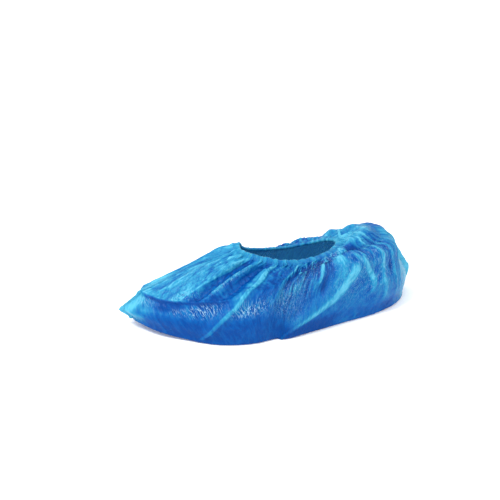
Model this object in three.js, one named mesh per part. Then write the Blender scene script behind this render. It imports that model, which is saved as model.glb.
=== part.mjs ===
// Disposable shoe cover: one bag of thin plastic film, welded flat at the toe and at the heel, whose top edge is
// folded over a rubber cord that gathers the opening. It keeps the form of the low shoe that it was pulled over,
// and it is hollow. Millimetres, +Z up, toe towards -Y, the wearer's outer side towards +X, sole on z = 0.

import * as THREE from "three";

const { degToRad, lerp, smoothstep } = THREE.MathUtils;

// Footprint of the film on the floor
const footprintLength = 293;
const footprintWidth = 112;

// Heights above the floor
const heelHeight = 84;
const openingFrontHeight = 77;
const openingOuterHeight = 67;
const openingInnerHeight = 61;
const openingRearHeight = 70;

// Gathered opening, measured in plan
const openingLength = 102;
const openingWidth = 50;
const openingCentreX = -6;
const openingCentreY = 14;

// Film, how tightly it turns under the sole, and how far round its ribs lean towards the toe on their way down
const filmWall = 1.2;
const pieceGap = 0.3;
const floorCorner = 4;
const ribLean = 0.08;

// Gathers round the opening
const gatherDepth = 1.2;
const gatherReach = 36;

// Folded hem and the rubber cord in it
const cordDiameter = 2;
const hemWidth = 7;
const hemReturn = 5;

// Welded fins at the two ends of the bag
const weldWidth = 9;
const weldThickness = 1.4;

// Tallest fold, how far below the hem the folds begin, and half the widest fold, measured along the floor
const foldHeight = 6;
const foldStart = 10;
const foldWidth = 20;

// Shares of a fold's length in which it rises from its upper end, and after which it dies away towards its lower end
const foldRise = 0.15;
const foldFall = 0.75;

// The belly stands out most a little above the wall's middle, and it grows gently at both ends.
const bellySkew = 1.2;
const bellyEase = 1.5;

// How finely the surfaces are divided, and the step between two places when a direction is measured
const gatherCount = 27;
const ribsPerGather = 4;
const ribCount = gatherCount * ribsPerGather;
const cordSides = 6;
const step = 0.002;

// Stations round the cover, from the toe along the outer side to the heel and back along the inner side.
// Plan positions are shares of half the footprint's width and length. up, corner, belly and crown are shares of the
// heel's height: the shoulder's height, its rounding, how far the wall stands out below it and how far the film
// rises between shoulder and opening. turn is the angle round the opening.
const stations = [
  { soleX: -0.55, soleY: -0.99, shoulderX: -0.52, shoulderY: -0.92, up: 0.42, corner: 0.06, belly: 0.13, crown: 0.02, turn: 0 },
  { soleX: -0.02, soleY: -0.9, shoulderX: -0.06, shoulderY: -0.84, up: 0.42, corner: 0.06, belly: 0.06, crown: 0.02, turn: 17 },
  { soleX: 0.47, soleY: -0.7, shoulderX: 0.33, shoulderY: -0.67, up: 0.45, corner: 0.07, belly: 0.05, crown: 0.02, turn: 33 },
  { soleX: 0.82, soleY: -0.52, shoulderX: 0.61, shoulderY: -0.49, up: 0.49, corner: 0.08, belly: 0.05, crown: 0.03, turn: 49 },
  { soleX: 0.98, soleY: -0.31, shoulderX: 0.79, shoulderY: -0.29, up: 0.54, corner: 0.12, belly: 0.04, crown: 0.03, turn: 66 },
  { soleX: 0.96, soleY: -0.15, shoulderX: 0.82, shoulderY: -0.14, up: 0.59, corner: 0.12, belly: 0.03, crown: 0.02, turn: 80 },
  { soleX: 1.03, soleY: -0.1, shoulderX: 0.81, shoulderY: -0.07, up: 0.62, corner: 0.1, belly: 0.01, crown: 0.01, turn: 88 },
  { soleX: 0.96, soleY: 0.1, shoulderX: 0.75, shoulderY: 0.1, up: 0.65, corner: 0.1, belly: 0.02, crown: 0.01, turn: 103 },
  { soleX: 0.86, soleY: 0.34, shoulderX: 0.67, shoulderY: 0.34, up: 0.7, corner: 0.1, belly: 0.03, crown: 0.02, turn: 121 },
  { soleX: 0.74, soleY: 0.64, shoulderX: 0.56, shoulderY: 0.61, up: 0.76, corner: 0.15, belly: 0.05, crown: 0.06, turn: 139 },
  { soleX: 0.5, soleY: 0.86, shoulderX: 0.38, shoulderY: 0.82, up: 0.8, corner: 0.16, belly: 0.07, crown: 0.1, turn: 155 },
  { soleX: 0.2, soleY: 0.97, shoulderX: 0.12, shoulderY: 0.9, up: 0.8, corner: 0.17, belly: 0.08, crown: 0.13, turn: 168 },
  { soleX: -0.13, soleY: 1.0, shoulderX: -0.14, shoulderY: 0.92, up: 0.8, corner: 0.17, belly: 0.11, crown: 0.14, turn: 180 },
  { soleX: -0.45, soleY: 0.96, shoulderX: -0.41, shoulderY: 0.9, up: 0.79, corner: 0.17, belly: 0.08, crown: 0.11, turn: 192 },
  { soleX: -0.71, soleY: 0.85, shoulderX: -0.63, shoulderY: 0.81, up: 0.77, corner: 0.16, belly: 0.06, crown: 0.07, turn: 206 },
  { soleX: -0.86, soleY: 0.66, shoulderX: -0.76, shoulderY: 0.64, up: 0.73, corner: 0.14, belly: 0.04, crown: 0.03, turn: 221 },
  { soleX: -0.91, soleY: 0.42, shoulderX: -0.82, shoulderY: 0.42, up: 0.66, corner: 0.08, belly: 0.03, crown: 0.01, turn: 237 },
  { soleX: -0.92, soleY: 0.2, shoulderX: -0.84, shoulderY: 0.2, up: 0.61, corner: 0.07, belly: 0.02, crown: 0.01, turn: 252 },
  { soleX: -0.93, soleY: 0.02, shoulderX: -0.86, shoulderY: 0.03, up: 0.57, corner: 0.07, belly: 0.02, crown: 0.01, turn: 266 },
  { soleX: -0.96, soleY: -0.15, shoulderX: -0.87, shoulderY: -0.13, up: 0.53, corner: 0.08, belly: 0.02, crown: 0.01, turn: 280 },
  { soleX: -1.0, soleY: -0.33, shoulderX: -0.88, shoulderY: -0.31, up: 0.5, corner: 0.12, belly: 0.03, crown: 0.01, turn: 295 },
  { soleX: -1.0, soleY: -0.53, shoulderX: -0.88, shoulderY: -0.52, up: 0.44, corner: 0.08, belly: 0.04, crown: 0.01, turn: 311 },
  { soleX: -0.96, soleY: -0.74, shoulderX: -0.86, shoulderY: -0.72, up: 0.41, corner: 0.07, belly: 0.04, crown: 0.01, turn: 327 },
  { soleX: -0.81, soleY: -0.91, shoulderX: -0.76, shoulderY: -0.87, up: 0.41, corner: 0.06, belly: 0.06, crown: 0.02, turn: 343 },
];

// How far down the film each row of points lies: 0 is its top edge, 1 is the floor.
const rowShares = [0, 0.06, 0.13, 0.21, 0.3, 0.4, 0.5, 0.55, 0.6, 0.67, 0.74, 0.81, 0.88, 0.95, 1];

// Where the vamp, the shoulder and the wall end, on the same scale.
const vampEnd = 0.5;
const shoulderEnd = 0.6;
const wallEnd = 0.95;

// How much of their lean the ribs have taken at the shoulder
const shoulderLean = 0.4;

// Folds of the worn film. from, via and to are the places round the cover of the fold's upper end, middle and lower
// end, top and bottom how far down the film its ends lie, height a share of the tallest fold and width a share of the
// widest. A fold with a height below 0 is a valley.
const folds = [
  { from: 0.02, via: 0.027, to: 0.035, top: 0.0, bottom: 0.5, height: 0.25, width: 0.5 },
  { from: 0.058, via: 0.075, to: 0.1, top: 0.0, bottom: 0.58, height: 0.35, width: 0.7 },
  { from: 0.085, via: 0.096, to: 0.112, top: 0.0, bottom: 0.6, height: -0.35, width: 0.6 },
  { from: 0.11, via: 0.12, to: 0.121, top: 0.0, bottom: 0.62, height: 0.45, width: 0.6 },
  { from: 0.134, via: 0.146, to: 0.15, top: 0.0, bottom: 0.6, height: -0.35, width: 0.6 },
  { from: 0.158, via: 0.177, to: 0.155, top: 0.0, bottom: 1.0, height: 0.75, width: 0.7 },
  { from: 0.2, via: 0.205, to: 0.2, top: 0.0, bottom: 0.45, height: 0.25, width: 0.6 },
  { from: 0.258, via: 0.262, to: 0.243, top: 0.0, bottom: 0.75, height: 0.35, width: 0.6 },
  { from: 0.3, via: 0.302, to: 0.3, top: 0.0, bottom: 0.6, height: 0.25, width: 0.5 },
  { from: 0.343, via: 0.343, to: 0.336, top: 0.0, bottom: 0.72, height: 0.4, width: 0.5 },
  { from: 0.385, via: 0.37, to: 0.36, top: 0.0, bottom: 0.7, height: 0.45, width: 0.6 },
  { from: 0.375, via: 0.36, to: 0.275, top: 0.45, bottom: 1.0, height: 0.85, width: 0.85 },
  { from: 0.37, via: 0.378, to: 0.406, top: 0.1, bottom: 0.82, height: 0.5, width: 0.6 },
  { from: 0.43, via: 0.405, to: 0.43, top: 0.0, bottom: 0.95, height: 0.5, width: 0.6 },
  { from: 0.465, via: 0.446, to: 0.436, top: 0.0, bottom: 0.85, height: 0.45, width: 0.6 },
  { from: 0.545, via: 0.555, to: 0.56, top: 0.05, bottom: 0.85, height: 0.4, width: 0.6 },
  { from: 0.59, via: 0.61, to: 0.615, top: 0.0, bottom: 0.9, height: 0.5, width: 0.7 },
  { from: 0.64, via: 0.66, to: 0.66, top: 0.0, bottom: 0.98, height: 0.65, width: 0.8 },
  { from: 0.7, via: 0.705, to: 0.7, top: 0.0, bottom: 0.8, height: 0.4, width: 0.6 },
  { from: 0.755, via: 0.75, to: 0.74, top: 0.0, bottom: 0.95, height: 0.5, width: 0.6 },
  { from: 0.82, via: 0.81, to: 0.81, top: 0.0, bottom: 0.9, height: 0.5, width: 0.7 },
  { from: 0.865, via: 0.85, to: 0.85, top: 0.0, bottom: 1.0, height: 0.6, width: 0.7 },
  { from: 0.91, via: 0.9, to: 0.885, top: 0.0, bottom: 0.65, height: 0.45, width: 0.6 },
  { from: 0.935, via: 0.925, to: 0.915, top: 0.0, bottom: 0.6, height: -0.3, width: 0.6 },
  { from: 0.965, via: 0.96, to: 0.95, top: 0.0, bottom: 0.6, height: 0.3, width: 0.6 },
];

// Welded fins, from their upper end to their lower end: how far down the film, how wide as a share of the weld's
// width, and how far the free edge sways sideways as a share of it.
const toeFin = [
  { down: 0.5, reach: 0.15, sway: 0.0 },
  { down: 0.55, reach: 0.3, sway: 0.05 },
  { down: 0.6, reach: 0.45, sway: 0.1 },
  { down: 0.67, reach: 0.7, sway: 0.2 },
  { down: 0.74, reach: 0.95, sway: 0.25 },
  { down: 0.81, reach: 0.85, sway: 0.15 },
  { down: 0.88, reach: 0.3, sway: 0.0 },
];
const heelFin = [
  { down: 0.55, reach: 0.15, sway: 0.0 },
  { down: 0.6, reach: 0.4, sway: -0.15 },
  { down: 0.67, reach: 0.6, sway: 0.15 },
  { down: 0.74, reach: 0.8, sway: 0.25 },
  { down: 0.81, reach: 0.7, sway: -0.1 },
  { down: 0.88, reach: 0.35, sway: -0.15 },
];

function closedCurve(points) {
  return new THREE.CatmullRomCurve3(points, true, "centripetal");
}

function planPoint(shareX, shareY, height) {
  return new THREE.Vector3((shareX * footprintWidth) / 2, (shareY * footprintLength) / 2, height);
}

function openingPoint(station) {
  const angle = degToRad(station.turn);
  const middle = (openingFrontHeight + openingRearHeight) / 2;
  const slope = (openingRearHeight - openingFrontHeight) / 2;
  const dip = middle - (openingOuterHeight + openingInnerHeight) / 2;
  const tilt = (openingOuterHeight - openingInnerHeight) / 2;
  return new THREE.Vector3(
    openingCentreX + (Math.sin(angle) * openingWidth) / 2,
    openingCentreY - (Math.cos(angle) * openingLength) / 2,
    middle - slope * Math.cos(angle) - dip * Math.sin(angle) ** 2 + tilt * Math.sin(angle),
  );
}

const soleCurve = closedCurve(stations.map((station) => planPoint(station.soleX, station.soleY, 0)));
const shoulderCurve = closedCurve(
  stations.map((station) => planPoint(station.shoulderX, station.shoulderY, station.up * heelHeight)),
);
const openingCurve = closedCurve(stations.map(openingPoint));
const roundingCurve = closedCurve(
  stations.map((station) =>
    new THREE.Vector3(station.corner, station.belly, station.crown).multiplyScalar(heelHeight),
  ),
);

const wayRound = soleCurve.getLength();

function wrapped(place) {
  return ((place % 1) + 1) % 1;
}

function tangentAt(curve, u) {
  return curve.getPoint(wrapped(u + step / 2)).sub(curve.getPoint(wrapped(u - step / 2))).normalize();
}

// The rib at one place round the cover: its guide points, how it runs down square to the hem and what way the film
// faces there, the way out from the sole, and its belly and crown.
function ribAt(place) {
  const u = wrapped(place);
  const lean = ribLean * Math.sin(2 * Math.PI * u);
  const [shoulderPlace, solePlace] = [wrapped(u - shoulderLean * lean), wrapped(u - lean)];
  const opening = openingCurve.getPoint(u);
  const shoulder = shoulderCurve.getPoint(shoulderPlace);
  const sole = soleCurve.getPoint(solePlace);
  const rounding = roundingCurve.getPoint(shoulderPlace);
  const upper = opening.clone().sub(shoulder).setLength(rounding.x).add(shoulder);
  const lower = sole.clone().sub(shoulder).setLength(rounding.x).add(shoulder);
  const round = tangentAt(openingCurve, u);
  const facing = upper.clone().sub(opening).cross(round).normalize();
  const down = round.clone().cross(facing);
  const rim = opening.clone().addScaledVector(down, hemWidth + pieceGap);
  const edge = tangentAt(soleCurve, solePlace);
  const outward = new THREE.Vector3(edge.y, -edge.x, 0).normalize();
  return { opening, shoulder, sole, upper, lower, down, facing, rim, outward, belly: rounding.y, crown: rounding.z };
}

// The film without its gathers and folds.
function basePoint(u, v) {
  const rib = ribAt(u);
  if (v <= vampEnd) {
    const share = v / vampEnd;
    const point = rib.rim.lerp(rib.upper, share);
    point.z += rib.crown * Math.sin(Math.PI * share) ** 2;
    return point;
  }
  if (v <= shoulderEnd) {
    const share = (v - vampEnd) / (shoulderEnd - vampEnd);
    return new THREE.QuadraticBezierCurve3(rib.upper, rib.shoulder, rib.lower).getPoint(share);
  }
  const foot = rib.sole.clone().sub(rib.shoulder).setLength(floorCorner).negate().add(rib.sole);
  if (v <= wallEnd) {
    const share = (v - shoulderEnd) / (wallEnd - shoulderEnd);
    const bow = rib.belly * Math.sin(Math.PI * share ** bellySkew) ** bellyEase;
    return rib.lower.lerp(foot, share).addScaledVector(rib.outward, bow);
  }
  const share = (v - wallEnd) / (1 - wallEnd);
  const edge = rib.sole.clone().addScaledVector(rib.outward, -floorCorner);
  return new THREE.QuadraticBezierCurve3(foot, rib.sole, edge).getPoint(share);
}

function baseNormal(u, v) {
  if (v === 0) return ribAt(u).facing;
  const round = basePoint(u + step, v).sub(basePoint(u - step, v));
  const down = basePoint(u, Math.min(v + step, 1)).sub(basePoint(u, Math.max(v - step, 0)));
  return down.cross(round).normalize();
}

// How far below the film's top edge a point lies.
function depthAt(u, v) {
  const rib = ribAt(u);
  const vamp = rib.rim.distanceTo(rib.upper);
  const wall = rib.shoulder.distanceTo(rib.sole);
  return v < vampEnd ? (vamp * v) / vampEnd : vamp + (wall * (v - vampEnd)) / (1 - vampEnd);
}

function gatherLift(u, v) {
  const fade = 0.5 + 0.5 * Math.cos(Math.PI * Math.min(1, depthAt(u, v) / gatherReach));
  return gatherDepth * fade * Math.cos(2 * Math.PI * gatherCount * u);
}

function foldLift(u, v) {
  const start = smoothstep(depthAt(u, v), 0, foldStart);
  let lift = 0;
  for (const fold of folds) {
    const share = (v - fold.top) / (fold.bottom - fold.top);
    if (share <= 0 || share >= 1) continue;
    const bend = 4 * share * (1 - share) * (fold.via - (fold.from + fold.to) / 2);
    const away = u - lerp(fold.from, fold.to, share) - bend;
    const offset = ((away - Math.round(away)) * wayRound) / (fold.width * foldWidth);
    const [rise, fall] = [smoothstep(share, 0, foldRise), smoothstep(share, foldFall, 1)];
    lift += fold.height * foldHeight * start * rise * (1 - fall) * Math.max(0, 1 - offset ** 2) ** 2;
  }
  return lift;
}

function filmPoint(u, v) {
  return basePoint(u, v).addScaledVector(baseNormal(u, v), gatherLift(u, v) + foldLift(u, v));
}

// A point of the hem's section: how far below the fold of the hem, and how far outside the film's outer face.
function hemPoint(u, below, outside) {
  const rib = ribAt(u);
  return rib.opening.addScaledVector(rib.down, below).addScaledVector(rib.facing, outside + gatherLift(u, 0));
}

function meshOf(name, points, faces, material) {
  const geometry = new THREE.BufferGeometry().setFromPoints(points);
  geometry.setIndex(faces);
  geometry.computeVertexNormals();
  const mesh = new THREE.Mesh(geometry, material);
  mesh.name = name;
  return mesh;
}

// Flat ladder of triangles across a ring of points, seen from below.
function soleFaces(start) {
  const faces = [];
  for (let i = 0; i < ribCount / 2; i += 1) {
    const [outer, nextOuter] = [start + i, start + i + 1];
    const [inner, nextInner] = [start + ((ribCount - i) % ribCount), start + ribCount - i - 1];
    if (inner !== outer) faces.push(outer, inner, nextOuter);
    if (nextInner !== nextOuter) faces.push(nextOuter, inner, nextInner);
  }
  return faces;
}

function filmBag(material) {
  const points = [];
  for (const wall of [0, filmWall]) {
    for (const v of rowShares) {
      for (let i = 0; i < ribCount; i += 1) {
        const u = i / ribCount;
        points.push(filmPoint(u, v).addScaledVector(baseNormal(u, v), -wall));
      }
    }
  }
  const inside = rowShares.length * ribCount;
  const faces = [];
  for (let r = 0; r + 1 < rowShares.length; r += 1) {
    for (let i = 0; i < ribCount; i += 1) {
      const j = (i + 1) % ribCount;
      const [a, b, c, d] = [r * ribCount + i, r * ribCount + j, (r + 1) * ribCount + j, (r + 1) * ribCount + i];
      faces.push(a, c, b, a, d, c);
      faces.push(inside + a, inside + b, inside + c, inside + a, inside + c, inside + d);
    }
  }
  for (let i = 0; i < ribCount; i += 1) {
    const j = (i + 1) % ribCount;
    faces.push(i, j, inside + j, i, inside + j, inside + i);
  }
  const under = soleFaces(inside - ribCount);
  const above = soleFaces(2 * inside - ribCount);
  for (let i = 0; i < under.length; i += 3) {
    faces.push(under[i], under[i + 1], under[i + 2], above[i], above[i + 2], above[i + 1]);
  }
  return meshOf("film_bag", points, faces, material);
}

// A ring swept along the hem from section points listed anticlockwise, each { below, outside }.
function hemRing(name, section, material) {
  const points = [];
  for (const { below, outside } of section) {
    for (let i = 0; i < ribCount; i += 1) points.push(hemPoint(i / ribCount, below, outside));
  }
  const faces = [];
  for (let s = 0; s < section.length; s += 1) {
    const t = (s + 1) % section.length;
    for (let i = 0; i < ribCount; i += 1) {
      const j = (i + 1) % ribCount;
      const [a, b, c, d] = [s * ribCount + i, s * ribCount + j, t * ribCount + j, t * ribCount + i];
      faces.push(a, b, c, a, c, d);
    }
  }
  return meshOf(name, points, faces, material);
}

const hemBore = cordDiameter + 2 * pieceGap;
const hemThickness = 2 * filmWall + hemBore;
const hemSection = [
  { below: hemWidth, outside: 0 },
  { below: filmWall, outside: 0 },
  { below: 0, outside: -filmWall },
  { below: 0, outside: filmWall - hemThickness },
  { below: filmWall, outside: -hemThickness },
  { below: hemReturn, outside: -hemThickness },
  { below: hemReturn, outside: filmWall - hemThickness },
  { below: filmWall, outside: filmWall - hemThickness },
  { below: filmWall, outside: -filmWall },
  { below: hemWidth, outside: -filmWall },
];
const cordSection = Array.from({ length: cordSides }, (_, side) => ({
  below: filmWall + hemBore / 2 + (Math.cos((2 * Math.PI * side) / cordSides) * cordDiameter) / 2,
  outside: -filmWall - hemBore / 2 + (Math.sin((2 * Math.PI * side) / cordSides) * cordDiameter) / 2,
}));

// A flat fin that stands on the film along one rib.
function weldFin(name, u, rows, material) {
  const points = [];
  for (const row of rows) {
    const normal = baseNormal(u, row.down);
    const root = filmPoint(u, row.down).addScaledVector(normal, pieceGap);
    const side = basePoint(u + step, row.down).sub(basePoint(u - step, row.down)).normalize();
    const free = root
      .clone()
      .addScaledVector(normal, row.reach * weldWidth)
      .addScaledVector(side, row.sway * weldWidth);
    for (const [point, half] of [[root, -1], [root, 1], [free, 1], [free, -1]]) {
      points.push(point.clone().addScaledVector(side, (half * weldThickness) / 2));
    }
  }
  const faces = [];
  for (let r = 0; r + 1 < rows.length; r += 1) {
    for (let s = 0; s < 4; s += 1) {
      const t = (s + 1) % 4;
      const [a, b, c, d] = [r * 4 + s, r * 4 + t, (r + 1) * 4 + t, (r + 1) * 4 + s];
      faces.push(a, b, c, a, c, d);
    }
  }
  const last = (rows.length - 1) * 4;
  faces.push(0, 2, 1, 0, 3, 2, last, last + 1, last + 2, last, last + 2, last + 3);
  return meshOf(name, points, faces, material);
}

const filmMaterial = new THREE.MeshPhysicalMaterial({ color: 0x2a86d8, roughness: 0.35, side: THREE.DoubleSide });
filmMaterial.name = "blue_film";
const rubberMaterial = new THREE.MeshStandardMaterial({ color: 0xe6dfcf, roughness: 0.6 });
rubberMaterial.name = "natural_rubber";

const cover = new THREE.Group();
cover.name = "shoe_cover";
cover.add(filmBag(filmMaterial));
cover.add(hemRing("hem_casing", hemSection, filmMaterial));
cover.add(hemRing("elastic_cord", cordSection, rubberMaterial));
cover.add(weldFin("toe_weld", 0, toeFin, filmMaterial));
cover.add(weldFin("heel_weld", 0.5, heelFin, filmMaterial));

// The origin is the middle of the cover's plan, on the floor.
const middle = new THREE.Box3().setFromObject(cover).getCenter(new THREE.Vector3());
for (const piece of cover.children) piece.geometry.translate(-middle.x, -middle.y, 0);

export default cover;
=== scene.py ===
"""A disposable shoe cover of blown polyethylene film, in its worn form.

The film, its folded hem, the rubber thread in the hem and the two welded fins are meshes worked out from
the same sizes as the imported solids, with the film's finer gathers, wrinkles and crinkles on top.
"""

import logging
from dataclasses import dataclass, field
from enum import Enum

import bpy
import numpy as np
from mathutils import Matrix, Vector


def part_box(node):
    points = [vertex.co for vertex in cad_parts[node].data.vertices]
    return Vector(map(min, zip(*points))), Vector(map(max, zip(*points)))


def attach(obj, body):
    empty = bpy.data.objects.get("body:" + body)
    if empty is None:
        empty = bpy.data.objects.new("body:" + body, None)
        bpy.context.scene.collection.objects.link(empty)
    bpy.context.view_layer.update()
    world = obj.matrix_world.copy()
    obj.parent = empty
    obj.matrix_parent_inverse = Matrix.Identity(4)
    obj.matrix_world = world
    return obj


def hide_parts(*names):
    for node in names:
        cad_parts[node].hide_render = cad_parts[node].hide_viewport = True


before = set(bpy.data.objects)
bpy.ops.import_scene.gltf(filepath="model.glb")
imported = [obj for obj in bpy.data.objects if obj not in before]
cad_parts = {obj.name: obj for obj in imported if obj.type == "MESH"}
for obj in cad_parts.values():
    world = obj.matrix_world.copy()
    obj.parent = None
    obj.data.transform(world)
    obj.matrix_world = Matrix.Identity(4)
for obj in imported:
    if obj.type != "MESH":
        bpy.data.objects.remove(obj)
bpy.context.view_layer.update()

LOG = logging.getLogger("shoe_cover")
Array = np.ndarray
MM = 0.001


def smooth(value: Array, start: float, full: float) -> Array:
    """Eases from 0 to 1 between two limits, of which either may be the greater.

    Args:
        value: What is compared with the limits.
        start: Where the result leaves 0.
        full: Where the result reaches 1.

    Returns:
        The eased share, the same shape as value.
    """
    share = np.clip((value - start) / (full - start), 0.0, 1.0)
    return share * share * (3.0 - 2.0 * share)


def unit(vectors: Array) -> Array:
    """Scales each row of vectors to length 1."""
    return vectors / np.linalg.norm(vectors, axis=-1, keepdims=True)


def away(place: Array, centre: Array) -> Array:
    """How far place lies past centre, the short way round the cover."""
    gap = place - centre
    return gap - np.round(gap)


class ClosedCurve:
    """A smooth closed curve through points: a centripetal Catmull-Rom spline."""

    SHORTEST_SPAN = 1e-4
    LENGTH_CHORDS = 200

    def __init__(self, points: list[tuple[float, float, float]]) -> None:
        """Keeps the curve's points, a row each."""
        self.points = np.asarray(points, float)

    def _span(self, a: Array, b: Array) -> Array:
        """The knot distance between two rows of points."""
        return np.sqrt(np.linalg.norm(b - a, axis=-1, keepdims=True))

    def at(self, place: Array) -> Array:
        """Points of the curve.

        Args:
            place: Shares of the way round, of any shape; 0 and 1 are the first point.

        Returns:
            An array with one more axis of x, y and z.
        """
        count = len(self.points)
        along = np.mod(place, 1.0) * count
        first = np.floor(along).astype(int)
        share = (along - first)[..., None]
        before, start, end, after = (self.points[(first + k) % count] for k in (-1, 0, 1, 2))
        d0, d1, d2 = self._span(before, start), self._span(start, end), self._span(end, after)
        d1 = np.where(d1 < self.SHORTEST_SPAN, 1.0, d1)
        d0 = np.where(d0 < self.SHORTEST_SPAN, d1, d0)
        d2 = np.where(d2 < self.SHORTEST_SPAN, d1, d2)
        leave = ((start - before) / d0 - (end - before) / (d0 + d1) + (end - start) / d1) * d1
        arrive = ((end - start) / d1 - (after - start) / (d1 + d2) + (after - end) / d2) * d1
        square = -3.0 * start + 3.0 * end - 2.0 * leave - arrive
        cube = 2.0 * start - 2.0 * end + leave + arrive
        return start + share * (leave + share * (square + share * cube))

    def length(self) -> float:
        """The way round, measured with many short chords."""
        ring = self.at(np.arange(self.LENGTH_CHORDS) / self.LENGTH_CHORDS)
        return float(np.linalg.norm(np.roll(ring, -1, 0) - ring, axis=1).sum())


class PatchNoise:
    """Soft noise on a grid of patches that closes on itself the way round, from -1 to 1."""

    def __init__(self, across: int, down: int, seed: int) -> None:
        """Draws one value for each corner of the patches.

        Args:
            across: Patches the way round.
            down: Patches the way down.
            seed: Which noise of its kind this is.
        """
        self.across, self.down = across, down
        self.values = np.random.default_rng(seed).uniform(-1.0, 1.0, (down + 3, across))

    def at(self, place: Array, fall: Array) -> Array:
        """The noise at places on the cover.

        Args:
            place: Shares of the way round.
            fall: Shares of the way down, of a shape that goes with place.

        Returns:
            The noise at each place, from -1 to 1.
        """
        x, y = np.mod(place, 1.0) * self.across, np.clip(fall, 0.0, 1.0) * self.down
        x, y = np.broadcast_arrays(x, y)
        column, row = np.floor(x).astype(int), np.floor(y).astype(int)
        right, below = smooth(x - column, 0, 1), smooth(y - row, 0, 1)
        near, far = column % self.across, (column + 1) % self.across
        top = self.values[row, near] * (1 - right) + self.values[row, far] * right
        bottom = self.values[row + 1, near] * (1 - right) + self.values[row + 1, far] * right
        return top * (1 - below) + bottom * below


@dataclass(frozen=True)
class Layer:
    """One layer of noise in the film: its patches the way round and down, how much of it counts, and
    which noise of its kind it is."""

    across: int
    down: int
    share: float
    seed: int

    def at(self, place: Array, fall: Array) -> Array:
        """The layer's noise at places round and down, from -1 to 1, before its share is taken."""
        return PatchNoise(self.across, self.down, self.seed).at(place, fall)


@dataclass(frozen=True)
class Station:
    """One place round the cover, from the toe along the outer side to the heel and back the other side.

    Plan positions are shares of half the footprint's width and length. up, corner, belly and crown are
    shares of the heel's height, and turn is the angle round the opening in degrees.
    """

    sole_x: float
    sole_y: float
    shoulder_x: float
    shoulder_y: float
    up: float
    corner: float
    belly: float
    crown: float
    turn: float


@dataclass(frozen=True)
class Fold:
    """One fold of the worn film. start, via and end are the places round the cover of its upper end,
    middle and lower end, top and bottom how far down its ends lie; height is a share of the tallest fold
    and width of the widest. A height below 0 is a valley."""

    start: float
    via: float
    end: float
    top: float
    bottom: float
    height: float
    width: float


def bowed(fold: "Fold | Pleat", share: Array) -> Array:
    """The places of a fold's middle at shares of its length, on the curve through its start, via and
    end."""
    bow = fold.via - (fold.start + fold.end) / 2
    return fold.start + (fold.end - fold.start) * share + 4 * share * (1 - share) * bow


# The worn cover's plan and heights. The first row is the corner of the toe.
STATIONS = (
    Station(-0.55, -0.99, -0.52, -0.92, 0.42, 0.06, 0.13, 0.02, 0),
    Station(-0.02, -0.9, -0.06, -0.84, 0.42, 0.06, 0.06, 0.02, 17),
    Station(0.47, -0.7, 0.33, -0.67, 0.45, 0.07, 0.05, 0.02, 33),
    Station(0.82, -0.52, 0.61, -0.49, 0.49, 0.08, 0.05, 0.03, 49),
    Station(0.98, -0.31, 0.79, -0.29, 0.54, 0.12, 0.04, 0.03, 66),
    Station(0.96, -0.15, 0.82, -0.14, 0.59, 0.12, 0.03, 0.02, 80),
    Station(1.03, -0.1, 0.81, -0.07, 0.62, 0.1, 0.01, 0.01, 88),
    Station(0.96, 0.1, 0.75, 0.1, 0.65, 0.1, 0.02, 0.01, 103),
    Station(0.86, 0.34, 0.67, 0.34, 0.7, 0.1, 0.03, 0.02, 121),
    Station(0.74, 0.64, 0.56, 0.61, 0.76, 0.15, 0.05, 0.06, 139),
    Station(0.5, 0.86, 0.38, 0.82, 0.8, 0.16, 0.07, 0.1, 155),
    Station(0.2, 0.97, 0.12, 0.9, 0.8, 0.17, 0.08, 0.13, 168),
    Station(-0.13, 1.0, -0.14, 0.92, 0.8, 0.17, 0.11, 0.14, 180),
    Station(-0.45, 0.96, -0.41, 0.9, 0.79, 0.17, 0.08, 0.11, 192),
    Station(-0.71, 0.85, -0.63, 0.81, 0.77, 0.16, 0.06, 0.07, 206),
    Station(-0.86, 0.66, -0.76, 0.64, 0.73, 0.14, 0.04, 0.03, 221),
    Station(-0.91, 0.42, -0.82, 0.42, 0.66, 0.08, 0.03, 0.01, 237),
    Station(-0.92, 0.2, -0.84, 0.2, 0.61, 0.07, 0.02, 0.01, 252),
    Station(-0.93, 0.02, -0.86, 0.03, 0.57, 0.07, 0.02, 0.01, 266),
    Station(-0.96, -0.15, -0.87, -0.13, 0.53, 0.08, 0.02, 0.01, 280),
    Station(-1.0, -0.33, -0.88, -0.31, 0.5, 0.12, 0.03, 0.01, 295),
    Station(-1.0, -0.53, -0.88, -0.52, 0.44, 0.08, 0.04, 0.01, 311),
    Station(-0.96, -0.74, -0.86, -0.72, 0.41, 0.07, 0.04, 0.01, 327),
    Station(-0.81, -0.91, -0.76, -0.87, 0.41, 0.06, 0.06, 0.02, 343),
)

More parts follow.
